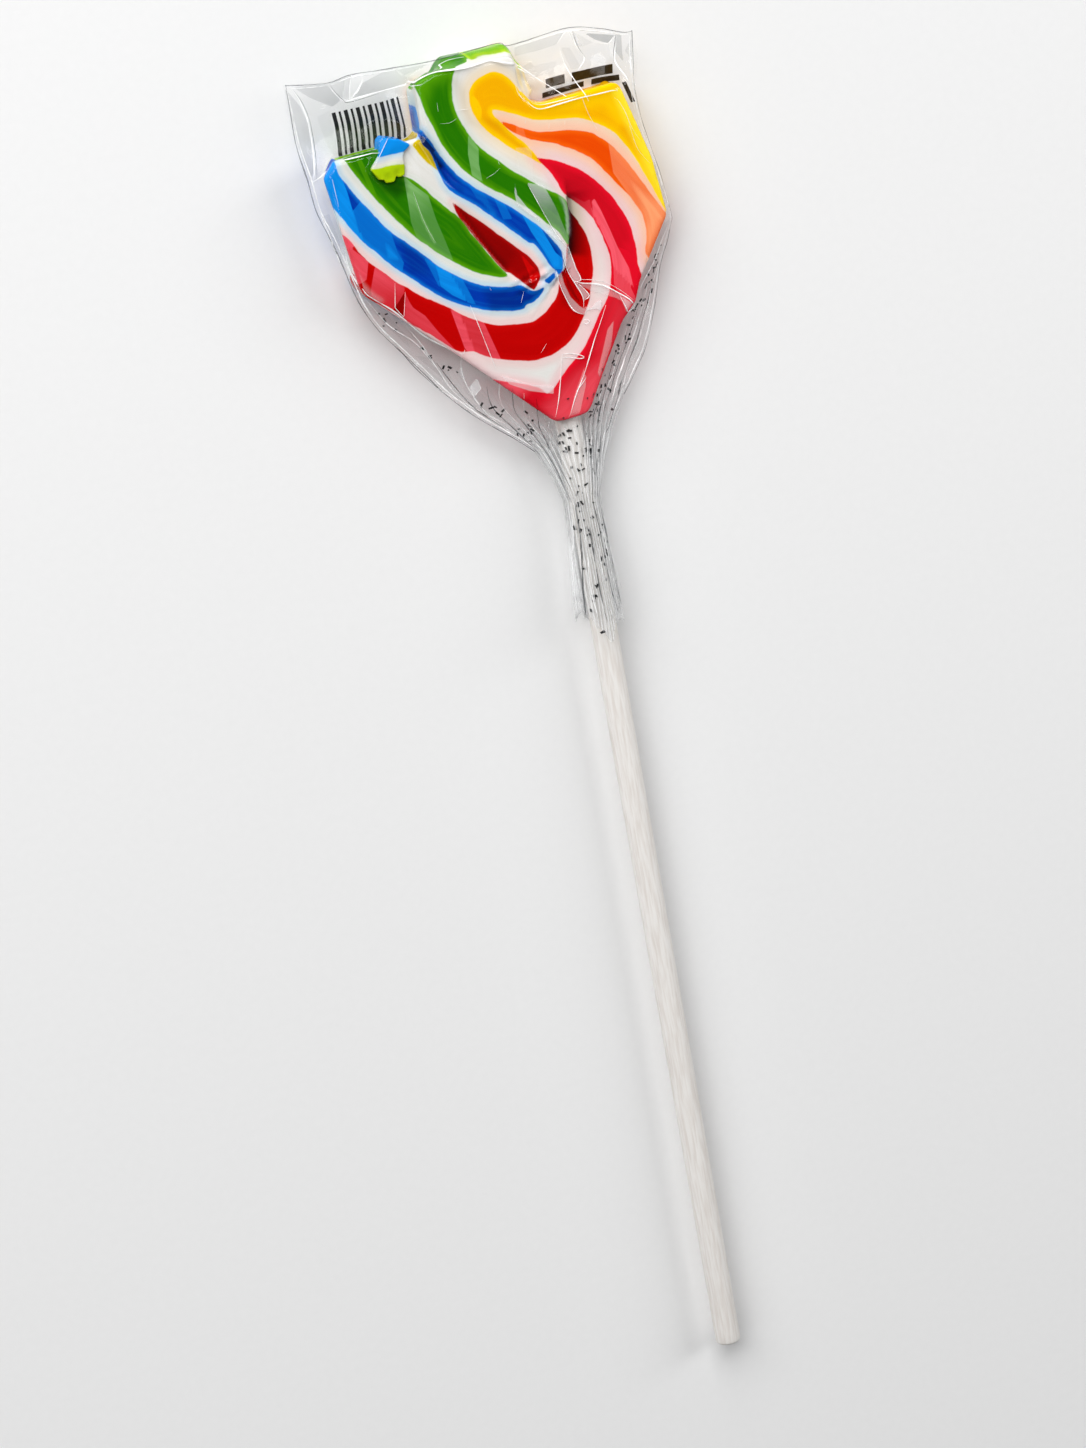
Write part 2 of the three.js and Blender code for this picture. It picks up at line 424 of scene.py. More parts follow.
def new_material(name: str) -> tuple[bpy.types.Material, bpy.types.NodeTree]:
    """A material with an empty node tree.

    Args:
        name: What the material is.

    Returns:
        The material and its node tree.
    """
    material = bpy.data.materials.new(name)
    material.use_nodes = True
    material.node_tree.nodes.clear()
    return material, material.node_tree


# ---------------------------------------------------------------- the candy's colours


class Colour(Enum):
    """The colours pulled into the candy rope, in the order in which one covers another."""

    CREAM = "cream"
    YELLOW = "yellow"
    MUSTARD = "mustard"
    ORANGE = "orange"
    GARNET = "garnet"
    CRIMSON = "crimson"
    SCARLET = "scarlet"
    BLUE = "blue"
    LIME = "lime"
    GREEN = "green"


@dataclass(frozen=True)
class StrandDye:
    """One dyed sugar: its colours, including the tones for painted glare and painted shade, and how it stains
    the white sugar beside it.
    """

    core: str
    edge: str  # thinner and brighter, at the strand's edges
    painted_candy_glare: str  # painted glare, where the film's facets would reflect the lights
    deep: str  # painted shade, and the strand's darker patches
    rim: float  # mm from the strand's edge to its full colour
    stain: str  # of the white beside it
    stain_share: float
    stain_reach: float  # mm


DYES: dict[Colour, StrandDye] = {
    Colour.CREAM: StrandDye("#efdca4", "#f2e6bf", "#f7eed2", "#cdb77c", 0.5, "#f2ead2", 0.3, 0.6),
    Colour.YELLOW: StrandDye("#f4ad00", "#fdcb02", "#fde02a", "#cf8000", 1.1, "#f6d59c", 0.5, 2.4),
    Colour.MUSTARD: StrandDye("#b89a00", "#d2b800", "#e2cc30", "#8c7800", 0.8, "#e8dcb0", 0.2, 0.5),
    Colour.ORANGE: StrandDye("#ec4a00", "#f45f08", "#fea26e", "#b83800", 1.1, "#fbbd9a", 0.85, 2.6),
    Colour.GARNET: StrandDye("#9a0101", "#ae0504", "#d2484c", "#5a0000", 0.8, "#eab4b0", 0.4, 1.6),
    Colour.CRIMSON: StrandDye("#cf0a1e", "#e60c26", "#fb6070", "#84000a", 1.1, "#f4b4ba", 0.55, 2.2),
    Colour.SCARLET: StrandDye("#bc0000", "#c80404", "#ee5262", "#340000", 1.1, "#f0b6b6", 0.5, 2.2),
    Colour.BLUE: StrandDye("#0036a8", "#066cce", "#0a8ee8", "#00165e", 0.8, "#9fcfea", 0.6, 1.2),
    Colour.LIME: StrandDye("#74b604", "#b6d20c", "#d2e896", "#4d8a00", 0.5, "#d3e0ac", 0.5, 0.9),
    Colour.GREEN: StrandDye("#247400", "#549c04", "#84b96e", "#0b4400", 0.9, "#c6d6c6", 0.35, 1.3),
}


@dataclass(frozen=True)
class Strand:
    """One dyed strand as it shows on the pressed face, as a closed outline."""

    colour: Colour
    points: Points
    broken: bool = False  # whether its sides are straight, as where the rope snapped

    def outline(self) -> np.ndarray:
        """The closed outline."""
        return np.asarray(self.points, float) if self.broken else smooth_line(self.points, closed=True)


# Strands run a little past the candy's outline, which cuts them off. Points are read off the
# photograph to about half a millimetre.
FACE_STRANDS: tuple[Strand, ...] = (
    Strand(
        Colour.YELLOW,
        # from the rope's end in the handle, over the notch and the shoulder, down the right side
        [(-2.6, 50), (-2.3, 51.8), (-1.2, 53), (0.4, 53.5), (1.8, 53.6), (3.0, 53.0), (3.9, 52.0),
         (4.8, 50.4), (5.4, 49.4), (8, 49.2), (14, 49.2), (21, 49), (24.5, 46), (25, 36), (24.8, 28),
         (23.5, 24.5), (22.2, 25.4), (21.6, 27), (21.2, 28.6), (20.4, 31.5), (19.8, 33.6), (19, 36),
         (18, 38.2), (16.8, 40), (15.5, 41.2), (14, 42.4), (12, 43.4), (10, 43.8), (8, 44.3), (6, 45),
         (4, 46.2), (2.4, 47.2), (1.2, 48), (0.3, 48.2), (0.5, 47.1), (1.4, 45.8), (2.2, 44.2),
         (3.4, 42.6), (4.4, 41), (5.2, 39.4), (5.6, 38.1), (4.2, 39.4), (3, 40.6), (1.6, 42),
         (0.2, 43.6), (-1, 45.2), (-1.9, 46.8), (-2.5, 48.6)],
    ),
    Strand(
        Colour.ORANGE,
        [(1.2, 46.2), (2.6, 45.4), (4.2, 44.2), (6, 43.1), (8, 42.5), (10, 42.1), (12, 41.5),
         (14, 40.4), (15.6, 38.8), (17, 36.8), (18, 34.8), (18.9, 32.6), (19.8, 30.6), (20.6, 28.4),
         (21.6, 26), (22.4, 23), (19, 19), (17.3, 20.5), (18.1, 22.8), (18.4, 25.8), (18, 27.6),
         (17.2, 29.4), (16.2, 31.2), (15.2, 33), (14.2, 34.8), (13.2, 36.4), (12, 37.8), (10.5, 39),
         (9, 40.1), (7.5, 41), (6, 41.7), (4.4, 42.6), (2.8, 43.9), (1.6, 45.2)],
    ),
    Strand(
        Colour.CRIMSON,
        # the outer red, down the right side, round the tip and up the lower left edge
        [(4.6, 39.8), (6, 39), (7.5, 38.2), (9, 37.2), (10.5, 36), (12, 34.4), (13.4, 32.4),
         (14.4, 30.6), (15.2, 28.8), (15.8, 27), (16.1, 25), (16.2, 23), (16, 21), (15.7, 19),
         (15.6, 16), (12, 8), (5, -4), (-5, -4), (-17, 8), (-26, 20), (-28, 24), (-25.6, 26.6),
         (-21.5, 21.5), (-18, 17.4), (-13.5, 13.2), (-10.5, 9.9), (-7, 8), (-4, 6.3), (-2.6, 4.9),
         (0, 6.8), (1.5, 8), (4, 9.5), (6, 11.5), (8, 14), (10, 16), (11.2, 18.6), (11.7, 20.4),
         (11.9, 22.4), (11.7, 24.4), (11.3, 26.4), (10.8, 28.2), (10, 29.8), (9, 31.2), (8, 32.4),
         (7.4, 33.4), (7, 35), (6.2, 37), (5.4, 38.4)],
    ),
    Strand(
        Colour.SCARLET,
        # the inner red, from the middle crease round the curl and up the left side
        [(7.6, 32.2), (8, 30), (8.6, 28.6), (9.1, 27), (9.4, 25), (9.4, 23), (9.2, 21.4), (8.6, 19.6),
         (7.8, 18), (6.8, 16), (5.4, 14), (3.8, 12.4), (2, 11.2), (0, 10.5), (-2, 10.3), (-4, 10.5),
         (-6, 11.2), (-8, 12), (-10, 13), (-12, 14.6), (-14, 15.2), (-15.5, 16.6), (-17.5, 19),
         (-19.5, 21), (-21, 22.8), (-24, 26), (-28, 30), (-28, 38), (-25.8, 37), (-24.8, 34.8),
         (-23.5, 32.3), (-22, 30.5), (-20.5, 28.4), (-18, 25.8), (-16, 24), (-14, 22.3), (-12, 20.3),
         (-10, 18.8), (-8, 17.5), (-6, 16.9), (-4, 16.4), (-2, 16.2), (0, 16.8), (1.5, 17.8), (2.8, 19),
         (3.4, 20.5), (3.7, 22), (4.7, 22), (5.2, 23.4), (5.8, 25.4), (6.5, 28), (7, 30)],
    ),
    Strand(
        Colour.GARNET,
        [(-9.1, 37), (-8, 35.6), (-6, 33.2), (-3.6, 30.2), (-2, 28.2), (-0.5, 26.2), (0.7, 24.2),
         (0.8, 22.6), (0.2, 21.6), (-0.6, 20.7), (-1.4, 21.4), (-2.3, 22.6), (-3.4, 24.0), (-4.2, 24.6),
         (-5, 26), (-6.2, 28.7), (-7.3, 31), (-8.6, 34)],
    ),
    # a bright chip at the garnet strand's broken end
    Strand(
        Colour.SCARLET,
        [(-1.2, 26.4), (0.5, 23.3), (0.8, 22.4), (0.7, 21.8), (-0.7, 20.6), (-0.9, 21.3), (-0.8, 22.8)],
        broken=True,
    ),
    Strand(
        Colour.BLUE,
        # the outer blue, from the left shoulder round to the curl's end
        [(-27.5, 50), (-25.0, 50), (-24.4, 47.8), (-24.4, 46.2), (-23.6, 44.4), (-21.5, 39.8),
         (-19, 35.5), (-16, 31.8), (-13, 27.8), (-9, 24.4), (-6.5, 23.1), (-4, 22.2), (-2.4, 21.9),
         (-0.8, 20.5), (0.9, 20.5), (0.1, 19.5), (-1.4, 18.9), (-2.4, 18.8), (-3.2, 18.4), (-6.5, 19.2),
         (-9.5, 20.5), (-12.5, 22.3), (-15, 24.5), (-18, 28), (-20, 30.3), (-22, 33.2), (-24, 36.2),
         (-25.5, 39.5), (-26.6, 42), (-28.4, 46)],
    ),
    Strand(
        Colour.BLUE,
        # the inner blue, from the crease under the handle to the curl's end
        [(-11.2, 48.4), (-10.4, 48.4), (-10.1, 47.4), (-9.5, 46), (-8.7, 43.6), (-7.7, 41.4),
         (-6.8, 40), (-5.2, 38), (-3.6, 36.3), (-1.6, 34.4), (0, 32.8), (1.4, 31), (2.6, 29.4),
         (3.8, 27.6), (4.8, 25.4), (4.8, 24.1), (4.4, 22.3), (3.6, 21.6), (3.3, 22.3), (2.8, 23.0),
         (2.1, 25), (1.3, 27.1), (0.4, 27.7), (-0.6, 29), (-2, 30.8), (-4, 33.3), (-6, 35.6),
         (-8, 37.6), (-9.4, 39.6), (-9.8, 41.8), (-9.9, 43.4), (-10.1, 44.8), (-10.6, 45.8),
         (-11.0, 46.8)],
    ),
    Strand(Colour.BLUE, [(1.3, 21.6), (3.2, 22.3), (3.1, 21.4), (1.8, 20.8), (1.3, 21.2)], broken=True),
    Strand(
        Colour.GREEN,
        # the left shoulder's broad green
        [(-23.8, 49.5), (-22.9, 47.8), (-21.5, 44), (-19, 39), (-16, 34), (-12.5, 29.7), (-9, 26.3),
         (-6, 24.5), (-3.9, 23.9), (-5, 26), (-6.2, 28.7), (-7.3, 31), (-8.8, 34.6), (-10.5, 37),
         (-13.5, 41.5), (-15.6, 43.4), (-17, 45.5), (-17.5, 49.5)],
    ),
    Strand(
        Colour.GREEN,
        # from the handle's left half to the middle crease
        [(-10.4, 57), (-10.0, 55.4), (-9.7, 54), (-9.4, 51), (-9.1, 49.5), (-8.7, 47.5), (-8, 44.8),
         (-7, 42.5), (-6, 40.8), (-4.6, 39), (-3, 37.2), (-1.4, 35.8), (0.2, 34.2), (1.8, 32.4),
         (3, 30.8), (4.2, 29.2), (5.2, 27.8), (6, 25.6), (6.3, 25.6), (7.1, 28), (7.5, 30), (7.6, 32),
         (6.6, 33.2), (5, 34.6), (3, 36.6), (1, 38.6), (-0.8, 40.8), (-2.2, 42.6), (-3.4, 44.4),
         (-4.2, 46.6), (-4.9, 49), (-5, 51), (-4.7, 53), (-4, 54.8), (-3, 57)],
    ),
    Strand(
        Colour.MUSTARD,
        # a sliver of the next strand, showing at the crease under the handle
        [(-12.5, 47.0), (-11.2, 47.3), (-10.6, 46), (-10.0, 44.8), (-9.7, 42.2), (-10.6, 43.0),
         (-11.6, 44.5), (-12.2, 46.0)],
    ),
)

# Where the handle's side walls are white sugar, but for the strands below.
BARE_WALLS: tuple[Points, ...] = (
    [(-1.2, 54.6), (0, 58), (9.5, 58), (9.5, 46.7), (6.4, 46.6), (4.8, 49.8), (4.4, 52.6)],
    [(-9.9, 55.8), (-13, 56), (-13, 50.0), (-9.4, 50.0)],
)

# What the side walls show where it differs from the face above them.
WALL_STRANDS: tuple[Strand, ...] = (
    Strand(Colour.GREEN, [(-9.8, 55.2), (-9.6, 59), (-2, 59.5), (-0.5, 57.4), (-0.8, 56.2),
        (-1.8, 55.2), (-5, 54.8)]),
    Strand(Colour.GREEN, [(-1.6, 56.4), (-2.4, 59.5), (3, 59.5), (2.6, 56.6), (1.6, 55.9), (0.4, 56.0),
        (-0.6, 56.1)]),
    Strand(Colour.LIME, [(-0.6, 56.15), (-0.6, 59.5), (9, 59.5), (9, 56.4), (6.6, 55.2), (5.1, 55.35),
        (3.4, 55.65), (1.2, 55.9)]),
    Strand(Colour.LIME, [(5.2, 57.4), (8.5, 57.5), (8.2, 52.4), (6.1, 52.6), (6.15, 54.0), (5.9, 54.8),
        (5.0, 55.5)]),
    Strand(Colour.BLUE, [(-13, 54.8), (-10.9, 54.4), (-10.5, 52.4), (-9.6, 50.6), (-9.1, 49.7),
        (-9.4, 48), (-10, 47), (-13, 48)]),
    Strand(Colour.LIME, [(-24, 50), (-23.4, 46.2), (-18, 46.2), (-12.8, 45.6), (-12.4, 50)]),
    Strand(Colour.MUSTARD, [(-14.2, 49.4), (-14.0, 47.3), (-12.4, 46.9), (-10.9, 46.8), (-10.6, 47.4),
        (-11.8, 49)]),
    Strand(Colour.BLUE, [(-28, 50.5), (-22.5, 50.5), (-22.7, 48.3), (-23.2, 47.4), (-23.6, 45),
        (-24.0, 38.5), (-28, 38.5)]),
    Strand(Colour.CREAM, [(5.9, 53.4), (6.5, 52.8), (6.3, 49.6), (6.0, 49.6), (5.7, 51)]),
    Strand(Colour.CREAM, [(7.2, 53.4), (9.6, 52.4), (9.6, 47), (7.6, 46.6), (7.0, 49.4)]),
    Strand(
        Colour.YELLOW,
        [(7.0, 46.9), (8, 44.4), (18, 43.4), (19.5, 40), (20.5, 30), (24, 28), (24, 49), (14, 50),
         (8.8, 48)],
    ),
)


@dataclass(frozen=True)
class Sheen:
    """A soft streak beside a line, for the tones that paint glare and shade on the candy and the film.

    It is strongest on the line and fades to the line's left over `reach`; it fades to its right over
    `back`. Both ends fade too.
    """

    points: Points
    reach: float
    amount: float
    back: float = 0.2
    ends: float = 0.12

    def at(self, places: np.ndarray) -> np.ndarray:
        """How strong the streak is at each place.

        Args:
            places: Points in head millimetres; the first two columns are across and up.

        Returns:
            The strength, from 0 to `amount`.
        """
        beside, along = beside_line(places, smooth_line(self.points, closed=False))
        left = 1 - smoothstep(0, self.reach, beside)
        right = 1 - smoothstep(0, self.back, -beside)
        tip = smoothstep(0, self.ends, along) * (1 - smoothstep(1 - self.ends, 1, along))
        return self.amount * np.where(beside >= 0, left, right) * tip


@dataclass(frozen=True)
class Blush:
    """A soft-rimmed patch of another tone."""

    points: Points
    amount: float
    soft: float = 0.8

    def at(self, places: np.ndarray) -> np.ndarray:
        """How strong the patch is at each place."""
        inside = inside_by(places, np.asarray(self.points, float))
        return self.amount * smoothstep(-self.soft, self.soft, inside)


@dataclass(frozen=True)
class Facet:
    """A crisp flat patch, as slack film makes where it lies on the candy or is folded.

    `fade` is how far from its first side the patch thins out to a third, or 0 where it is even.
    """

    points: Points
    amount: float
    fade: float = 0.0


@dataclass(frozen=True)
class Tone:
    """One tone laid over a surface: soft streaks and patches, and crisp facets."""

    name: str
    soft: tuple[Sheen | Blush, ...] = ()
    crisp: tuple[Facet, ...] = ()
    everywhere: float = 0.0

    def give(
        self,
        piece: bpy.types.Object,
        places: np.ndarray,
        share: np.ndarray | float = 1.0,
        also: np.ndarray | float = 0.0,
    ) -> None:
        """Stores the tone at a piece's vertices, for `toned` to read.

        Args:
            piece: The piece to store it on.
            places: Its vertices, in head millimetres.
            share: How much of the tone each vertex takes.
            also: What each vertex has on top of it.
        """
        soft = self.everywhere + sum(s.at(places) for s in self.soft) if self.soft else self.everywhere
        inside = np.full(len(places), -3.0)
        amount = np.zeros(len(places))
        for facet in self.crisp:
            outline = np.asarray(facet.points, float)
            deeper = inside_by(places, outline)
            strength = np.full(len(places), facet.amount)
            if facet.fade:
                beside, _ = beside_line(places, outline[:2])
                strength *= 1 - 0.67 * smoothstep(0, facet.fade, np.abs(beside))
            nearer = deeper > inside
            inside = np.where(nearer, deeper, inside)
            amount = np.where(nearer, strength, amount)
        give_values(piece, self.name, np.clip(share * soft + also, 0, 1.2) * np.ones(len(places)))
        give_values(piece, f"{self.name}_inside", inside)
        give_values(piece, f"{self.name}_amount", share * amount)


def toned(tree: bpy.types.NodeTree, name: str) -> bpy.types.NodeSocket:
    """How strong a stored tone is: its soft part, or its crisp facets where they are stronger.

    Args:
        tree: The material's node tree.
        name: The tone's name.

    Returns:
        The tone's strength.
    """
    soft, inside, amount = (
        add_node(tree, "ShaderNodeAttribute", {"attribute_name": stored}).outputs["Fac"]
        for stored in (name, f"{name}_inside", f"{name}_amount")
    )
    edge = add_node(tree, "ShaderNodeMapRange", SMOOTH, {VALUE: inside, LOW: -0.05, HIGH: 0.09}).outputs[0]
    crisp = add_node(tree, "ShaderNodeMath", TIMES, {0: edge, 1: amount}).outputs[0]
    return add_node(tree, "ShaderNodeMath", {"operation": "MAXIMUM"}, {0: crisp, 1: soft}).outputs[0]


# Painted glare: the candy painted paler where the film's flat facets would reflect the lights.
PAINTED_CANDY_GLARE = Tone(
    "painted_candy_glare",
    soft=(
        Sheen([(-14.6, 41), (-14.0, 35.5), (-13.0, 30.8)], 0.5, 0.9, 0.4, 0.2),
        Sheen([(-5.2, 38.2), (-4.4, 35.4), (-3.2, 32.6)], 1.0, 0.3, 0.4, 0.2),
        Blush([(17.8, 32), (21.6, 27), (21.8, 25), (19.6, 22.6), (17.4, 20.2), (18.6, 25.4)], 0.95, 1.4),
        Blush([(-20.6, 34.9), (-19.8, 34.0), (-19.0, 32.0), (-19.0, 30.8), (-20.9, 32.0)], 0.8, 0.6),
        Blush([(-3.5, 3), (2.5, 6), (7, 7), (4, -3), (-4, -3)], 0.5, 2.0),
        Blush([(-16, 14), (-8, 10.4), (-4.6, 7), (-9, 5)], 0.6, 1.2),
        Blush([(6, 9), (11, 16), (13.5, 13.5), (9, 6)], 0.15, 1.6),
        Blush([(18.6, 45.4), (25, 45.4), (25, 25), (22.1, 26), (20.9, 30.2), (20.2, 35.1),
            (19.4, 40)], 1.0, 0.7),
    ),
    crisp=(
        # on the blues
        Facet([(-12.6, 55.2), (-10.7, 54.6), (-10.1, 52), (-9.5, 50.4), (-9.2, 48.8), (-10.0, 48.1),
            (-12.6, 48.1)], 0.95),
        Facet([(-29, 51), (-22.6, 51), (-24.1, 46.4), (-24.0, 45.2), (-23.8, 43.1), (-23.8, 40.4),
            (-23.5, 35.8), (-26, 35), (-29, 40)], 0.9),
        Facet([(-22.3, 41.4), (-20.4, 37.4), (-19.2, 35.8), (-19.0, 32.4), (-18.5, 30.7), (-19.2, 29.2),
            (-21.6, 32.2), (-23.6, 35.6), (-23.8, 40.4)], 0.45),
        Facet([(-14.1, 29.1), (-12.2, 27.0), (-10.9, 22.0), (-12.8, 23.7), (-14.2, 25.6)], 0.85),
        Facet([(-15.5, 30.6), (-14.1, 29.1), (-14.2, 25.6), (-14.4, 25.4), (-15.0, 28.3)], 0.4),
        Facet([(-12.2, 27.0), (-10.9, 26.4), (-9.7, 21.1), (-10.9, 22.0)], 0.5),
        Facet([(0.4, 32.4), (1.5, 31.3), (2.8, 29.2), (4.0, 25.0), (4.7, 23.9), (4.5, 22.2),
            (3.2, 22.6), (2.3, 25.8), (1.2, 29.1)], 0.85),
        Facet([(-6.6, 40.4), (-4.6, 38.6), (-3.6, 34.8), (-5.4, 36.4)], 0.25),
        Facet([(-3.0, 36.4), (-1.6, 34.6), (-1.0, 31.8), (-2.4, 32.2)], 0.35),
        # on the greens
        Facet([(-15.1, 43.1), (-14.2, 41.6), (-12.3, 39.1), (-12.1, 35.2), (-11.6, 31.6), (-11.2, 28.3),
            (-13.9, 31.1), (-15.7, 33.6), (-15.9, 36.1), (-15.5, 39.2)], 0.85, 6.0),
        Facet([(-4.0, 46.2), (-3.5, 44.5), (-3.1, 43.4), (-3.7, 41.2), (-3.9, 38.4), (-5.2, 39.9),
            (-4.9, 43.1)], 0.62),
        # on the reds
        Facet([(-25.8, 35.6), (-23.6, 32.5), (-24.6, 30.0), (-26.6, 29.4), (-27, 33.0)], 0.75),
        Facet([(-22.9, 31.5), (-21.0, 30.6), (-19.4, 27.0), (-19.8, 26.3), (-21.8, 24.4), (-24.6, 27.1),
            (-24.4, 28.4)], 0.75, 6.0),
        Facet([(-19.6, 26.5), (-19.3, 24.8), (-19.0, 23.8), (-17.6, 22.1), (-16.3, 19.1), (-14.3, 15.2),
            (-15.4, 14.6), (-18.9, 19.2), (-20.8, 21.7), (-20.8, 22.9)], 0.52),
        Facet([(-13.7, 21.9), (-12.5, 21.3), (-11.8, 14.4), (-11.4, 12.6), (-12.8, 14.4),
            (-13.2, 15.6)], 0.8),
        Facet([(-12.5, 21.3), (-10.4, 20.0), (-9.5, 10.6), (-11.6, 12.6), (-11.8, 14.4)], 0.36),
        Facet([(-10.4, 20.0), (-9.4, 18.8), (-8.2, 11.4), (-8.9, 10.2), (-9.5, 10.6)], 0.62),
        Facet([(11.4, 30.6), (11.9, 30.9), (12.4, 28.9), (13.0, 25.5), (13.4, 22.9), (14.3, 19.2),
            (14.2, 16.1), (13.6, 17.1), (12.0, 20.0), (12.2, 22.6), (11.6, 26.0), (11.1, 28.7)], 0.8),
        Facet([(12.0, 20.0), (13.6, 17.1), (14.2, 14.2), (12.3, 12.6), (11.4, 17.6)], 0.5),
        Facet([(7.4, 33.6), (10.3, 30.8), (11.2, 31.0), (11.1, 28.7), (11.6, 26.0), (10.9, 27.9),
            (9.5, 30.4)], 0.25),
        # on the orange and the yellow
        Facet([(16.1, 38.9), (19.0, 36.4), (21.4, 30.6), (22.6, 26.4), (19.9, 21.4), (17.3, 19.2),
            (17.9, 23.7), (18.0, 27.0), (16.8, 30.5), (15.6, 33.7)], 0.42),
        Facet([(3.3, 45.2), (4.2, 44.6), (4.2, 42.3), (5.0, 39.2), (3.9, 41.0), (2.9, 43.8)], 0.22),
    ),
)

# Patches where the strands are drawn nearer their brighter edge colour.
BRIGHT = Tone(
    "bright",
    soft=(
        Blush([(-11, 57), (-3, 57), (-3.6, 55.2), (-7.4, 54.4), (-8.9, 52.6), (-9.6, 50)], 1.0, 1.6),
        Blush([(5, 49.4), (19.6, 47.6), (20.4, 40), (18.2, 40.4), (16.8, 43.6), (10, 44.8),
            (6.6, 45.8)], 0.8, 1.1),
        Blush([(14.4, 23), (16.4, 23), (16, 16), (13.8, 15)], 0.7, 1.0),
    ),
    crisp=(
        Facet([(-21.3, 47.6), (-20.5, 47.4), (-19.8, 42.2), (-19.8, 41.0), (-20.6, 42.9)], 0.6),
        Facet([(-1.9, 51.4), (-1.3, 50.2), (-1.1, 48.8), (-1.7, 47.0), (-2.4, 48.7), (-2.4, 50.2)], 0.8),
        Facet([(13.4, 22.9), (14.8, 21.8), (15.9, 19.4), (15.1, 16.6), (14.2, 16.1), (13.9, 19.3)], 0.9),
    ),
)

# Painted shade in the creases, along the steps, under the scrap and on the handle's top wall; elsewhere,
# patches where the strands are darker.
SHADE_AND_DARK_PATCHES = Tone(
    "deep",
    soft=(
        Sheen([(7.8, 33.4), (7.5, 31), (7.3, 29.6), (6.4, 26.2), (5.4, 23.6)], 4.6, 0.95, 0.05, 0.1),
        Sheen([(-0.6, 55.9), (2.0, 55.8), (4.8, 55.5)], 0.9, 0.5, 0.1, 0.1),
        Sheen([(-10.8, 47.6), (-10.5, 46.6), (-10.0, 45.2), (-9.5, 43.6),
            (-9.0, 41.8)], 0.8, 1.0, 0.4, 0.1),
        Blush([(-4.6, 54.2), (-3.2, 54.6), (-2.6, 52), (-2.8, 49), (-1.8, 46), (-4.0, 47.2)], 0.4, 0.9),
        Sheen([(-9.8, 43), (-8.6, 40), (-6.8, 37.4)], 0.9, 0.45, 0.5, 0.2),
        Blush([(-19.6, 44.6), (-18.7, 45.2), (-14.6, 44.6), (-15.4, 40.7), (-16.9, 40.3),
            (-18.4, 41.8)], 0.8, 0.9),
        Blush([(-8, 22.8), (-1, 21.6), (1.2, 20.2), (-2.5, 18.2), (-8, 19.2)], 0.45, 1.0),
        Blush([(-18.4, 34.4), (-15.4, 30.6), (-15.2, 27.4), (-18, 28.8)], 0.3, 0.8),
        Blush([(-7.6, 36), (-5, 33), (-1.5, 27), (-4, 24.5)], 0.3, 1.0),
        Blush([(2.5, 22), (5.4, 22), (5.4, 16), (3, 17)], 0.25, 1.0),
        Blush([(-1.4, 47.4), (0.6, 44.8), (4.6, 39.6), (5.6, 38.0), (2.8, 42.8), (0.8, 46.4)], 0.4, 0.8),
        Sheen([(-4.6, 26), (-6.4, 29.6), (-8, 33.4), (-10.4, 37.6)], 1.4, 0.3, 0.6, 0.2),
        Sheen([(-9.0, 37.2), (-7.4, 33.2), (-5.4, 28.2), (-3.6, 24.4)], 1.0, 0.6, 0.1, 0.12),
    ),
    crisp=(
        Facet([(-11.1, 47.4), (-10.7, 47.8), (-10.2, 46.9), (-9.3, 44.9), (-9.7, 44.5), (-10.3, 45.4),
            (-11.0, 46.3)], 0.9),
        Facet([(1.3, 21.6), (3.2, 22.3), (3.1, 21.4), (1.8, 20.8), (1.3, 21.2)], 0.35),
        Facet([(2.8, 29.2), (4.1, 27.1), (5.2, 24.3), (4.7, 23.9), (4.0, 25.0)], 0.35),
        Facet([(-19.6, 26.5), (-20.8, 22.9), (-21.9, 24.0), (-21.7, 24.7)], 0.5),
        Facet([(4.7, 22.4), (4.8, 21.1), (5.3, 18.2), (5.9, 16.1), (5.1, 17.2), (4.4, 19.4)], 0.5),
        Facet([(-23.9, 45.4), (-22.9, 44.1), (-22.3, 41.4), (-23.8, 40.4), (-23.8, 43.1)], 0.12),
        Facet([(-12.5, 45.6), (-9.9, 42.4), (-9.4, 39.7), (-8.9, 37.4), (-8.6, 34.9), (-12.4, 39.9),
            (-12.7, 41.1)], 0.14),
    ),
)


@dataclass(frozen=True)
class Flank:
    """A stretch of wall that slopes outward towards the back."""

    line: Points
    push: tuple[float, float]
    reach: float

    def at(self, places: np.ndarray) -> np.ndarray:
        """How strongly each place follows the slope."""
        beside, _ = beside_line(places, np.asarray(self.line, float))
        return np.exp(-((beside / self.reach) ** 2))


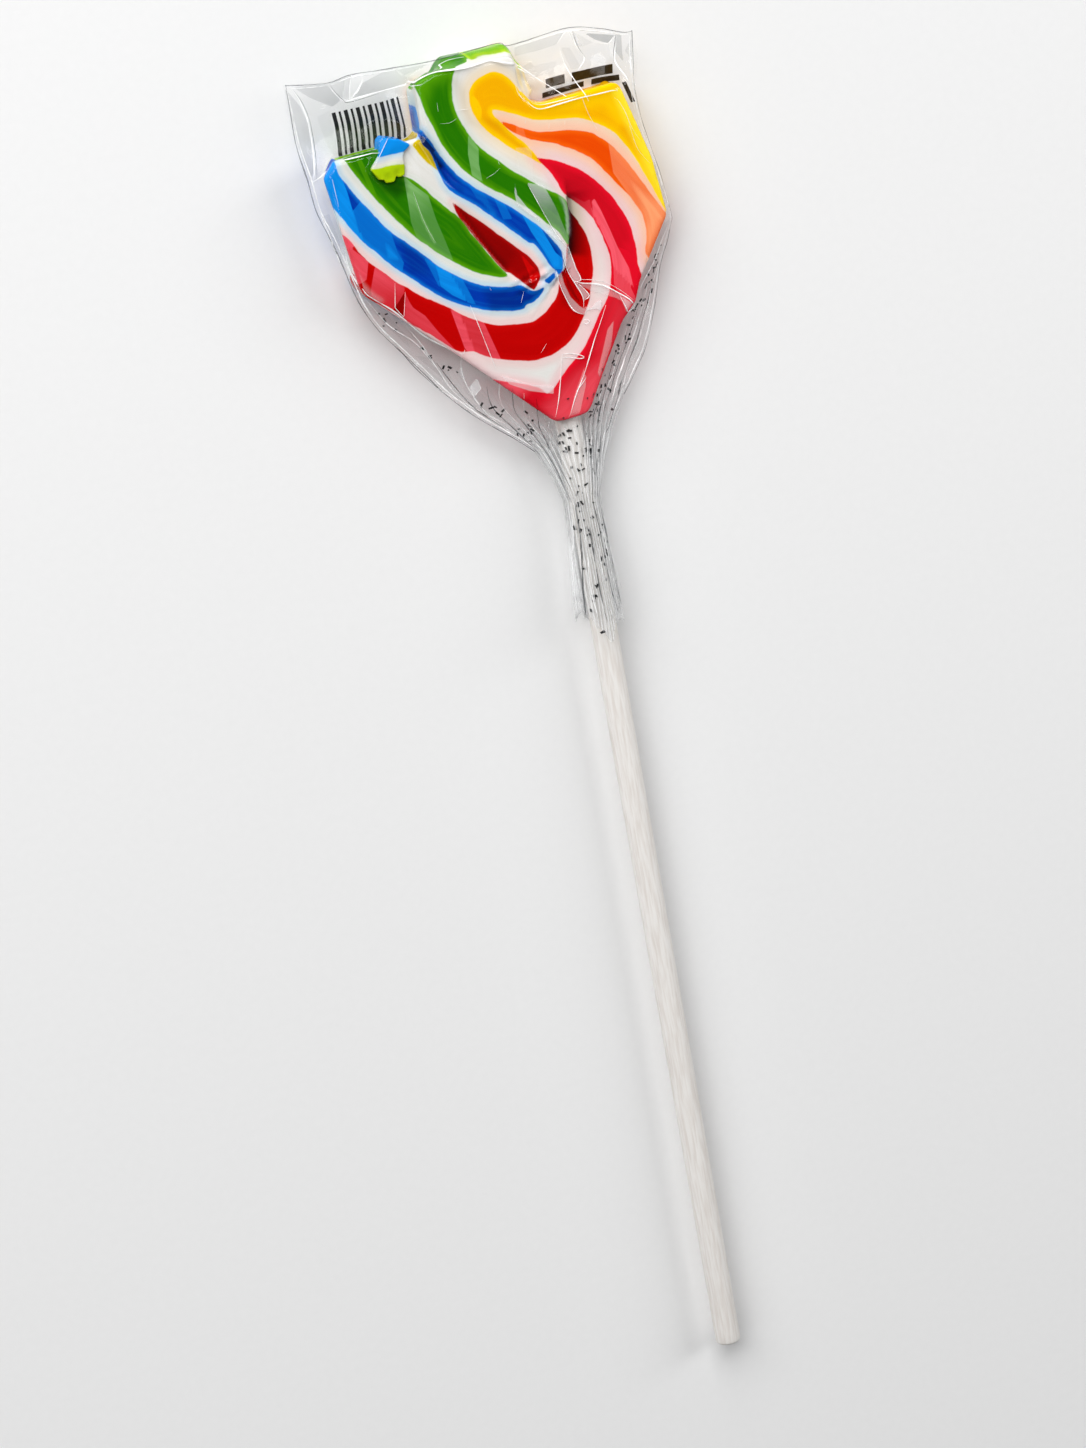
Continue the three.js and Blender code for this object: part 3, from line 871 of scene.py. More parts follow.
@dataclass
class CandyHead:
    """The pressed rope of hard candy, in the outline of a spinning top with a square handle."""

    placement: Placement
    bottom: float = 0.2
    top: float = 7.2
    voxel: float = 0.27
    softenings: int = 12  # passes that round the pressed rims
    middle_of_twist: tuple[float, float] = (-1.0, 27.0)
    twist: float = math.radians(-24)  # how far the strands turn from the shown face to the back
    crease_depth: float = 1.3
    crease_reach: float = 2.3  # over which the fallen side rises again
    lip: float = 0.22  # how far the crease's other side stands up
    lip_reach: float = 1.6
    notch_depth: float = 1.2
    notch_width: float = 0.6
    step_depth: float = 0.4
    step_reach: float = 1.8
    # (height, length, seed) of the face's gentle swells
    swells: tuple[tuple[float, float, float], ...] = ((0.14, 9, 0.4), (0.05, 3.1, 1.9))
    chip: tuple[float, float] = (-0.2, 21.9)  # where the strands' ends are chipped
    chip_size: tuple[float, float] = (3.4, 1.5)
    chip_depth: float = 0.5
    wall_height: float = 4.6  # of the part of the walls that slopes
    corners: tuple[tuple[float, float, float], ...] = (
        (2.6, 0, 2.2),
        (11.2, 11.6, 8),
        (14.1, 14.0, 1.2),
        (15.6, 16.9, 3),
        (22.2, 25.2, 2.4),
        (22.1, 34, 12),
        (20.0, 46.5, 1.5),
        (6.8, 46.9, 2.4),
        (4.9, 50.4, 5),
        (5.9, 55.0, 1.8),
        (-6.9, 56.2, 2),
        (-9.8, 55.3, 0.8),
        (-10.7, 47.5, 0.5),
        (-24.5, 48.1, 0.8),
        (-26.6, 46.1, 0.8),
        (-25.8, 28.0, 3.2),
        (-14.3, 14.6, 6),
        (-2.6, 0, 2.2),
    )
    flanks: tuple[Flank, ...] = (
        Flank([(-3.4, 56.0), (4.5, 55.2)], (0.0, 1.1), 1.7),
        Flank([(-9.8, 55.4), (-6.6, 56.0)], (0.3, -0.9), 1.2),
        Flank([(5.4, 55.0), (6.0, 53.9)], (0.8, 0.4), 1.0),
        Flank([(-23.4, 48.1), (-12.4, 47.3)], (0.0, -0.6), 1.2),
        Flank([(5.1, 51.9), (5.0, 50.4), (5.4, 48.6)], (2.4, -0.2), 1.3),
        Flank([(-25.2, 48.6), (-26.8, 46.3), (-26.3, 38.0), (-25.9, 32.0)], (1.5, -0.4), 1.4),
        Flank([(9.5, 46.9), (18.5, 46.6)], (0.0, -0.8), 1.2),
    )
    middle_crease: Points = ((7.9, 36), (7.8, 33), (7.5, 30.6), (7.1, 28.4), (6.3, 25.7),
        (5.3, 23), (3.6, 21.4))
    notch_crease: Points = ((-11.2, 48.9), (-10.4, 46.6), (-9.8, 44.8), (-9.3, 42.8),
        (-8.3, 40.2), (-6.6, 37.4))
    shallow_step: Points = ((-9.4, 36.4), (-7.2, 30.8), (-5, 26), (-3.6, 23.6), (-1.2, 21))

    def outline(self) -> np.ndarray:
        """The candy's outline seen from above."""
        return rounded_outline(self.corners)

    def relief(self, places: np.ndarray) -> np.ndarray:
        """How far the shown face stands above or below its flat at each place, in millimetres.

        Args:
            places: Points in head millimetres; the first two columns are across and up.

        Returns:
            The rise of each place.
        """
        across, up = places[:, 0], places[:, 1]
        beside, along = beside_line(places, smooth_line(self.middle_crease, closed=False))
        ends = smoothstep(0.02, 0.3, along) * (1 - 0.6 * smoothstep(0.82, 1, along))
        under = np.clip(beside, 0, None)
        fallen = smoothstep(0, 0.5, under) * np.exp(-under / self.crease_reach)
        raised = np.exp(-((np.clip(-beside, 0, None) / self.lip_reach) ** 2))
        raised = raised * (1 - smoothstep(0, 0.3, under))
        height = -ends * (self.crease_depth * fallen - self.lip * raised)
        beside, along = beside_line(places, smooth_line(self.notch_crease, closed=False))
        ends = 1 - smoothstep(0.55, 1, along)
        height -= self.notch_depth * ends * np.exp(-((beside / self.notch_width) ** 2))
        beside, along = beside_line(places, smooth_line(self.shallow_step, closed=False))
        ends = smoothstep(0, 0.2, along) * (1 - smoothstep(0.8, 1, along))
        under = np.clip(beside, 0, None)
        height -= self.step_depth * ends * smoothstep(0, 0.35, under) * np.exp(-under / self.step_reach)
        height += sum(
            rise * ripples(across / length, up / length, seed) for rise, length, seed in self.swells
        )
        off_across, off_up = across - self.chip[0], up - self.chip[1]
        chipped = np.exp(-((off_across / self.chip_size[0]) ** 2) - (off_up / self.chip_size[1]) ** 2)
        facets = triangle_wave((across * 0.8 + up * 0.5) / 1.9)
        facets += triangle_wave((across * 0.3 - up) / 1.6 + 0.3)
        return height + chipped * (self.chip_depth * facets - self.chip_depth)

    def sloped(self, places: np.ndarray) -> np.ndarray:
        """The vertices with the sloping walls pushed out below the face.

        Args:
            places: The vertices, in head millimetres.

        Returns:
            The pushed vertices.
        """
        low = 1 - smoothstep(self.top - self.wall_height, self.top - 0.7, places[:, 2])
        pushed = places.copy()
        for flank in self.flanks:
            pushed[:, :2] += (low * flank.at(places))[:, None] * np.array(flank.push)
        return pushed

    def twisted(self, places: np.ndarray, share: float) -> np.ndarray:
        """Where strands at a depth come from on the face: turned about the middle, and drawn in.

        Args:
            places: Points in head millimetres; the first two columns are across and up.
            share: How deep the strands lie, from 0 at the face to 1 at the back.

        Returns:
            The places on the face, as two columns.
        """
        middle = np.array(self.middle_of_twist)
        angle = self.twist * share
        turn = np.array([[math.cos(angle), math.sin(angle)], [-math.sin(angle), math.cos(angle)]])
        return (places[:, :2] - middle) @ turn * (1 - 0.1 * share) + middle

    def colour_distances(self, places: np.ndarray) -> dict[Colour, np.ndarray]:
        """How far inside each colour's strands every vertex lies, in millimetres.

        Args:
            places: The vertices, in head millimetres.

        Returns:
            For each colour its signed distance.
        """
        height = places[:, 2]
        wall = 1 - smoothstep(self.top - 1.9, self.top - 0.5, height)
        back = 1 - smoothstep(self.bottom + 0.2, self.bottom + 1.0, height)
        seen = {"face": places[:, :2], "wall": self.twisted(places, 0.3), "back": self.twisted(places, 1.0)}
        layers: dict[str, dict[Colour, np.ndarray]] = {}
        for layer, spots in seen.items():
            far = {colour: np.full(len(places), -9.0) for colour in Colour}
            for strand in FACE_STRANDS:
                deeper = inside_by(spots, strand.outline())
                far[strand.colour] = np.maximum(far[strand.colour], deeper)
            layers[layer] = far
        for bare in BARE_WALLS:
            covered = inside_by(places, np.asarray(bare, float))
            for colour, distance in layers["wall"].items():
                layers["wall"][colour] = np.minimum(distance, -covered)
        for patch in WALL_STRANDS:
            covered = inside_by(places, patch.outline())
            for colour, distance in layers["wall"].items():
                if colour is patch.colour:
                    layers["wall"][colour] = np.maximum(distance, covered)
                else:
                    layers["wall"][colour] = np.minimum(distance, -covered)
        return {
            colour: (1 - wall) * layers["face"][colour]
            + wall * ((1 - back) * layers["wall"][colour] + back * layers["back"][colour])
            for colour in Colour
        }

    def build(self) -> bpy.types.Object:
        """Presses the slab, cuts its creases, and stores the strands at its vertices.

        Returns:
            The candy.
        """
        piece = new_slab("candy_head", self.outline(), self.bottom, self.top, self.voxel)
        apply_modifier(piece, "SMOOTH", factor=0.5, iterations=self.softenings)
        places = self.sloped(positions(piece))
        distances = self.colour_distances(places)
        on_face = smoothstep(self.bottom + 2.5, self.top - 0.3, places[:, 2])
        places[:, 2] += on_face * self.relief(places)
        under = 1 - smoothstep(self.bottom + 0.3, self.bottom + 2.5, places[:, 2])
        places[:, 2] += under * np.clip(0.12 * ripples(places[:, 0] / 8, places[:, 1] / 8, 2.7), 0, 1)
        for colour, distance in distances.items():
            give_values(piece, colour.value, distance)
        give_values(piece, "grain", np.stack(list(distances.values())).max(0))
        shown = smoothstep(self.bottom + 1.5, self.top - 1.5, places[:, 2])
        for tone in (PAINTED_CANDY_GLARE, BRIGHT, SHADE_AND_DARK_PATCHES):
            tone.give(piece, places, shown)
        move_to(piece, self.placement.place(places))
        smooth_shaded(piece)
        return piece


@dataclass
class RopeScrap:
    """A broken bit of the next rope, stuck across the left shoulder's rim."""

    placement: Placement
    bottom: float = 4.6
    top: float = 8.2
    voxel: float = 0.13
    softenings: int = 7
    corners: tuple[tuple[float, float, float], ...] = (
        (-17.3, 48.9, 0.25),
        (-16.6, 49.4, 0.2),
        (-14.3, 48.4, 0.5),
        (-12.9, 47.2, 0.25),
        (-14.2, 46.5, 0.5),
        (-14.6, 45.6, 0.4),
        (-14.6, 44.4, 0.4),
        (-14.9, 43.2, 0.35),
        (-15.9, 43.0, 0.35),
        (-16.2, 43.5, 0.2),
        (-16.7, 42.7, 0.4),
        (-18.0, 42.8, 0.4),
        (-18.2, 43.5, 0.15),
        (-18.9, 43.6, 0.3),
        (-19.7, 45.4, 0.25),
        (-18.7, 46.3, 0.4),
        (-17.9, 47.1, 0.4),
    )
    blue_above: float = 46.75  # its blue, white and lime bands lie across it
    lime_below: float = 45.05
    crease: Points = ((-15.9, 49.6), (-17.0, 48.2), (-18.2, 46.9), (-19.6, 45.4))

    def outline(self) -> np.ndarray:
        """The scrap's outline seen from above."""
        return rounded_outline(self.corners, steps=4)

    def build(self) -> bpy.types.Object:
        """Shapes the scrap, folded along its crease, and stores its bands at its vertices.

        Returns:
            The scrap.
        """
        piece = new_slab("rope_scrap", self.outline(), self.bottom, self.top, self.voxel)
        apply_modifier(piece, "SMOOTH", factor=0.5, iterations=self.softenings)
        places = positions(piece)
        across, up = places[:, 0], places[:, 1]
        beside, _ = beside_line(places, np.asarray(self.crease, float))
        on_top = smoothstep(6.4, 7.6, places[:, 2])
        fallen = 0.45 * np.clip(-beside, 0, 1.4) + 0.12 * np.clip(beside - 1.2, 0, 4)
        scalloped = 0.08 * (1 - smoothstep(43.4, 44.6, up)) * (1 + np.sin(4.2 * across))
        places[:, 2] -= on_top * (fallen + scalloped - 0.08 * ripples(across / 1.1, up / 1.1, 3.0))
        bands = up + 0.12 * (across + 16) + 0.2 * ripples(across / 1.3, up / 1.3, 5.0)
        rims = -inside_by(places, self.outline())
        give_values(piece, Colour.BLUE.value, bands - self.blue_above)
        lime = np.minimum(self.lime_below - bands, 0.1 - 0.45 * rims)
        give_values(piece, Colour.LIME.value, lime)
        give_values(piece, Colour.GREEN.value, -3.0 - rims)
        for colour in set(Colour) - {Colour.BLUE, Colour.LIME, Colour.GREEN}:
            give_values(piece, colour.value, np.full(len(up), -9.0))
        give_values(piece, "grain", bands)
        # painted glare on the scrap's blue top, and its colours drawn near their brighter edge colour
        Tone("painted_candy_glare", everywhere=1.1).give(piece, places, smoothstep(46.0, 46.6, bands))
        Tone("bright", everywhere=0.8).give(piece, places)
        Tone("deep").give(piece, places)
        move_to(piece, self.placement.place(places))
        smooth_shaded(piece)
        return piece


@dataclass(frozen=True)
class BoiledSugar:
    """Hard-boiled sugar, pulled in dyed strands and pressed: opaque, glossy, streaked lengthwise."""

    white: str = "#e4e3df"
    old_white: str = "#dddbd5"
    shaded_white: str = "#bdb39d"
    crease_shade: str = "#0c161c"  # painted shade, near black, in the bottom of a crease
    roughness: float = 0.11
    ior: float = 1.52
    gloss: float = 0.1  # the film in front takes most of the sugar's own shine
    edge_width: float = 0.1  # half the width of the soft edge between two strands, in mm
    wander_size: float = 2.0  # mm over which a strand's edge wanders
    wander: float = 0.4  # mm that it wanders at most
    streak_width: float = 0.5  # mm between lengthwise streaks
    streak_drift: float = 0.12  # how much the streaks change along one millimetre
    specks_per_mm: float = 0.35
    bump_depth: float = 0.05  # mm

    def material(self) -> bpy.types.Material:
        """Builds the material from the strands' distances and the stored tones, which paint glare and shade
        into its colours.

        Returns:
            The finished material.
        """
        material, tree = new_material("boiled_sugar")
        spot = add_node(tree, "ShaderNodeTexCoord").outputs["Object"]
        wander = add_node(
            tree,
            "ShaderNodeTexNoise",
            inputs={"Vector": spot, "Scale": 1 / (self.wander_size * MM), "Detail": 3.0},
        ).outputs["Fac"]
        shift = add_node(tree, "ShaderNodeMath", MINUS, {0: wander, 1: 0.5}).outputs[0]
        shake = add_node(tree, "ShaderNodeMath", TIMES, {0: shift, 1: self.wander}).outputs[0]
        grain = add_node(tree, "ShaderNodeAttribute", {"attribute_name": "grain"}).outputs["Fac"]
        across = add_node(tree, "ShaderNodeMath", TIMES, {0: grain, 1: 1 / self.streak_width}).outputs[0]
        lengthwise = add_node(tree, "ShaderNodeCombineXYZ", inputs={0: across}).outputs[0]
        slow = add_node(
            tree, "ShaderNodeVectorMath", {"operation": "SCALE"}, {0: spot, "Scale": self.streak_drift / MM}
        ).outputs[0]
        together = add_node(
            tree, "ShaderNodeVectorMath", {"operation": "ADD"}, {0: lengthwise, 1: slow}
        ).outputs[0]
        streaks = add_node(
            tree, "ShaderNodeTexNoise", inputs={"Vector": together, "Scale": 1.0, "Detail": 4.0}
        ).outputs["Fac"]
        distances = {}
        for strand in Colour:
            stored = add_node(tree, "ShaderNodeAttribute", {"attribute_name": strand.value}).outputs["Fac"]
            shaken = add_node(tree, "ShaderNodeMath", {"operation": "ADD"}, {0: stored, 1: shake})
            distances[strand] = shaken.outputs[0]
        painted_candy_glare, bright, deep = (toned(tree, name) for name in ("painted_candy_glare", "bright", "deep"))

        # the white sugar, stained by its neighbours, and darkened where painted shade and darker patches lie
        old = add_node(tree, "ShaderNodeMapRange", SMOOTH, {VALUE: streaks, LOW: 0.35, HIGH: 0.75}).outputs[0]
        whites = {SHARE: old, FIRST: linear(self.white), SECOND: linear(self.old_white)}
        colour = add_node(tree, "ShaderNodeMix", COLOURS, whites).outputs[MIXED]
        for strand, inside in distances.items():
            dye = DYES[strand]
            reach = {VALUE: inside, LOW: -dye.stain_reach, HIGH: 0.0, AT_HIGH: dye.stain_share}
            stained = add_node(tree, "ShaderNodeMapRange", SMOOTH, reach).outputs[0]
            colour = add_node(
                tree, "ShaderNodeMix", COLOURS, {SHARE: stained, FIRST: colour, SECOND: linear(dye.stain)}
            ).outputs[MIXED]
        shaded = add_node(tree, "ShaderNodeMapRange", SMOOTH, {VALUE: deep, LOW: 0.0, HIGH: 1.0}).outputs[0]
        colour = add_node(
            tree, "ShaderNodeMix", COLOURS, {SHARE: shaded, FIRST: colour, SECOND: linear(self.shaded_white)}
        ).outputs[MIXED]

        # the dyed strands, one over another, with painted glare and painted shade mixed in
        # the painted glare, made uneven along the streaks
        mottled = add_node(
            tree,
            "ShaderNodeMapRange",
            SMOOTH,
            {VALUE: streaks, LOW: 0.3, HIGH: 0.7, AT_LOW: 1.15, AT_HIGH: 0.85},
        ).outputs[0]
        painted_candy_glare = add_node(tree, "ShaderNodeMath", TIMES, {0: painted_candy_glare, 1: mottled}).outputs[0]
        streaked = add_node(
            tree, "ShaderNodeMapRange", SMOOTH, {VALUE: streaks, LOW: 0.42, HIGH: 0.78, AT_HIGH: 0.35}
        ).outputs[0]
        for strand, inside in distances.items():
            dye = DYES[strand]
            full = add_node(
                tree, "ShaderNodeMapRange", SMOOTH, {VALUE: inside, LOW: 0.0, HIGH: dye.rim}
            ).outputs[0]
            own: Any = linear(dye.edge)
            # each strand's colour, with its painted glare and painted shade
            for share, tone in (
                (full, dye.core),
                (streaked, dye.edge),
                (bright, dye.edge),
                (painted_candy_glare, dye.painted_candy_glare),
                (deep, dye.deep),
            ):
                layers = {SHARE: share, FIRST: own, SECOND: linear(tone)}
                own = add_node(tree, "ShaderNodeMix", COLOURS, layers).outputs[MIXED]
            cover = add_node(
                tree,
                "ShaderNodeMapRange",
                SMOOTH,
                {VALUE: inside, LOW: -self.edge_width, HIGH: self.edge_width},
            ).outputs[0]
            colour = add_node(
                tree, "ShaderNodeMix", COLOURS, {SHARE: cover, FIRST: colour, SECOND: own}
            ).outputs[MIXED]
        # painted shade: near black in the bottom of the creases
        crease_shaded = add_node(
            tree, "ShaderNodeMapRange", SMOOTH, {VALUE: deep, LOW: 0.8, HIGH: 1.05, AT_HIGH: 0.9}
        ).outputs[0]
        colour = add_node(
            tree, "ShaderNodeMix", COLOURS, {SHARE: crease_shaded, FIRST: colour, SECOND: linear(self.crease_shade)}
        ).outputs[MIXED]

        # fine grooves along the strands, and small pits
        pits = add_node(
            tree,
            "ShaderNodeTexVoronoi",
            {"feature": "F1"},
            {"Vector": spot, "Scale": self.specks_per_mm / MM},
        ).outputs["Distance"]
        pit = add_node(
            tree,
            "ShaderNodeMapRange",
            SMOOTH,
            {VALUE: pits, LOW: 0.04, HIGH: 0.075, AT_LOW: 1.0, AT_HIGH: 0.0},
        ).outputs[0]
        grooves = add_node(tree, "ShaderNodeMath", TIMES, {0: streaks, 1: 0.6}).outputs[0]
        sinks = add_node(tree, "ShaderNodeMath", TIMES, {0: pit, 1: 0.8}).outputs[0]
        relief = add_node(tree, "ShaderNodeMath", MINUS, {0: grooves, 1: sinks}).outputs[0]
        bump = add_node(
            tree,
            "ShaderNodeBump",
            inputs={"Strength": 0.5, "Distance": self.bump_depth * MM, "Height": relief},
        ).outputs[0]
        dull, dullest = self.roughness - 0.03, self.roughness + 0.06
        roughness = add_node(
            tree,
            "ShaderNodeMapRange",
            SMOOTH,
            {VALUE: wander, LOW: 0.3, HIGH: 0.7, AT_LOW: dull, AT_HIGH: dullest},
        ).outputs[0]
        sugar = add_node(
            tree,
            "ShaderNodeBsdfPrincipled",
            inputs={
                "Base Color": colour,
                "Roughness": roughness,
                "IOR": self.ior,
                "Specular IOR Level": self.gloss,
                "Normal": bump,
            },
        ).outputs[0]
        add_node(tree, "ShaderNodeOutputMaterial", inputs={"Surface": sugar})
        return material


# ---------------------------------------------------------------- film bag


class Face(Enum):
    """The two layers of the bag."""

    FRONT = 1
    BACK = -1


# Painted shade: grey facets on the slack film that darken what lies behind them, each as strong as it looks.
PAINTED_FILM_SHADE = Tone(
    "shade",
    soft=(
        Blush([(-27, 58), (-20, 57), (-19, 52), (-22, 44), (-27, 46)], 0.03, 1.5),
        Sheen([(21.9, 20), (23.2, 26), (22.6, 34)], 0.7, 0.1, 0.4, 0.2),
        Sheen([(-22.0, 18.4), (-17.4, 10.6), (-12.0, 3.6)], 0.9, 0.07, 0.5, 0.2),
        Sheen([(12.4, 8.0), (17.4, 15.2), (20.4, 20.6)], 0.8, 0.1, 0.6, 0.2),
    ),
    crisp=(
        # along the sealed top, left of the handle
        Facet([(-21.6, 58.7), (-17.8, 58.9), (-19.1, 55.5), (-20.3, 56.1)], 0.3),
        Facet([(-18.7, 55.6), (-17.2, 56.6), (-16.5, 57.3), (-12.2, 58.1), (-11.3, 57.7), (-10.8, 56.6),
            (-8.4, 55.3), (-10.1, 55.0), (-15.9, 55.5)], 0.38, 8.0),
        Facet([(-21.7, 58.7), (-20.4, 55.8), (-21.9, 55.3), (-24.6, 57.4), (-26.8, 59.8)], 0.42, 9.0),
        Facet([(-27.9, 60.1), (-27.2, 58.6), (-26.4, 56.7), (-26.0, 54.4), (-26.4, 51.2), (-27.3, 47.5),
            (-28.1, 46.1), (-28.3, 49.3), (-28.2, 54.3)], 0.28),
        Facet([(-24.6, 54.6), (-22.4, 55.0), (-23.0, 50.2), (-24.2, 48.6)], 0.1),
        Facet([(-11.2, 57.8), (-8.0, 57.6), (-6.2, 56.8), (-10.2, 56.4)], 0.2),
        # right of the handle
        Facet([(6.8, 55.4), (13.6, 55.4), (15.2, 55.6), (13.1, 53.9), (9.9, 53.9), (6.6, 54.1)], 0.22),
        Facet([(15.6, 55.5), (18.6, 52.5), (16.9, 52.4), (15.9, 52.7)], 0.12),
        Facet([(17.4, 54.4), (22.1, 52.6), (20.8, 51.7), (19.0, 52.8)], 0.6),
        Facet([(23.0, 49.9), (24.6, 51.6), (23.6, 48.2)], 0.2),
        Facet([(22.1, 52.6), (23.1, 52.3), (22.2, 48.3), (21.5, 50.3)], 0.42),
        Facet([(13.6, 53.3), (14.9, 52.9), (15.8, 49.6), (14.1, 49.8)], 0.14),
        Facet([(9.2, 52.0), (12.6, 51.6), (11.2, 50.0), (8.8, 50.6)], 0.1),
        Facet([(7.0, 52.4), (8.6, 52.6), (9.8, 50.2), (8.2, 50.4)], 0.16),
        # down the right edge
        Facet([(23.0, 33.1), (23.3, 26.2), (22.4, 27.7), (22.2, 32.5)], 0.26),
        Facet([(23.4, 43.4), (22.8, 39.0), (22.2, 41.2), (22.6, 44.6)], 0.14),
        Facet([(22.9, 23.9), (20.6, 21.2), (19.2, 19.2), (19.4, 21.4), (21.2, 24.0)], 0.14),
        Facet([(19.0, 18.6), (17.0, 16.2), (15.2, 13.2), (16.0, 16.6), (17.6, 19.0)], 0.14),
        Facet([(14.2, 11.6), (12.0, 8.4), (10.2, 5.4), (11.2, 9.4), (13.4, 13.0)], 0.12),
        # down the left edge
        Facet([(-27.8, 40.4), (-27.4, 36.2), (-26.8, 32.4), (-26.6, 36.4), (-27.0, 40.8)], 0.16),
        Facet([(-24.9, 25.4), (-23.0, 21.6), (-20.6, 17.4), (-20.8, 19.6), (-22.6, 23.4)], 0.12),
        Facet([(-20.2, 16.2), (-17.4, 12.0), (-15.4, 8.6), (-15.9, 11.8), (-18.2, 15.4)], 0.13),
        Facet([(-14.6, 9.2), (-12.6, 5.0), (-10.4, 2.4), (-10.8, 5.4), (-13.2, 9.4)], 0.12),
    ),
)

# Painted glare: milky white laid on the film where its facets and folds would reflect the lights.
PAINTED_FILM_GLARE = Tone(
    "painted_film_glare",
    soft=(
        Sheen([(6.6, 33.6), (7.0, 30.6), (6.2, 26.4)], 0.8, 0.25, 0.2, 0.2),
        Sheen([(-26.6, 36), (-25.6, 29.4), (-23, 25.6)], 0.9, 0.2, 0.6, 0.1),
        Sheen([(20.9, 41), (22.2, 33), (22.8, 27)], 0.6, 0.12, 0.3, 0.1),
    ),
    crisp=(
        # over the right green and the white beside it
        Facet([(2.5, 36.4), (4.9, 35.2), (5.8, 31.4), (6.4, 26.4), (6.0, 25.0), (4.9, 27.3),
            (4.0, 30.3), (3.3, 33.0)], 0.34, 4.5),
        Facet([(0.7, 36.8), (0.6, 35.1), (1.5, 33.0), (3.4, 29.6), (1.6, 31.7), (0.1, 33.8),
            (0.3, 35.7)], 0.4),
        Facet([(2.1, 41.9), (4.5, 41.2), (3.7, 36.2), (1.9, 38.0)], 0.1),
        Facet([(3.9, 29.9), (5.2, 28.2), (6.1, 25.4), (6.2, 21.8), (5.1, 21.1), (5.0, 24.3),
            (4.5, 26.8)], 0.26),
        Facet([(3.1, 28.8), (4.1, 28.5), (5.3, 26.8), (6.1, 25.1), (5.8, 24.6), (5.1, 25.9)], 0.55),
        # the pocket at the crease's end
        Facet([(3.4, 21.8), (3.4, 19.9), (3.8, 17.4), (4.4, 15.7), (5.9, 14.6), (6.4, 15.1),
            (5.4, 16.1), (4.4, 17.9), (4.0, 20.1), (4.0, 21.8)], 0.26),
        Facet([(6.0, 25.3), (6.3, 22.5), (6.6, 19.9), (5.6, 19.9), (5.2, 21.2), (4.9, 23.2),
            (5.4, 24.7)], 0.36),
        Facet([(5.6, 19.9), (6.4, 18.9), (7.2, 17.2), (6.3, 16.8)], 0.3),
        Facet([(6.0, 15.9), (6.4, 15.1), (7.7, 14.9), (8.4, 14.4), (8.9, 16.0), (7.9, 15.9),
            (7.1, 15.3)], 0.42),
        Facet([(5.6, 20.0), (8.3, 18.7), (11.6, 16.2), (13.5, 13.2), (11.0, 15.6), (7.6, 17.8)], 0.18),
        Facet([(14.2, 13.0), (13.5, 13.0), (12.2, 12.4), (11.7, 15.9)], 0.35),
        # over the reds
        Facet([(-9.1, 10.0), (-5.2, 7.2), (-1.6, 5.8), (-2.0, 4.6), (-5.4, 6.2), (-8.1, 8.1)], 0.3),
        Facet([(-12.3, 10.2), (-12.0, 8.4), (-13.2, 7.3), (-13.6, 8.9)], 0.5),
        Facet([(8.6, 11.4), (9.9, 12.4), (8.0, 7.4), (5.6, 4.2), (5.4, 5.6)], 0.2),
        Facet([(1.0, 3.4), (3.6, 7.0), (3.2, 4.4), (0.6, -0.4), (-0.6, 0.2)], 0.2),
        # free film that has caught the light
        Facet([(-20.2, 56.0), (-19.2, 55.4), (-18.4, 57.4), (-17.8, 58.9), (-18.8, 58.8)], 0.14),
        Facet([(15.3, 55.4), (15.9, 52.7), (16.9, 52.4), (16.2, 54.6)], 0.25),
        Facet([(20.8, 51.6), (22.2, 52.4), (21.5, 50.2), (20.6, 49.2)], 0.22),
        Facet([(-14.0, 13.0), (-13.8, 9.2), (-12.9, 6.3), (-13.6, 8.0), (-14.6, 11.8)], 0.3),
    ),
)


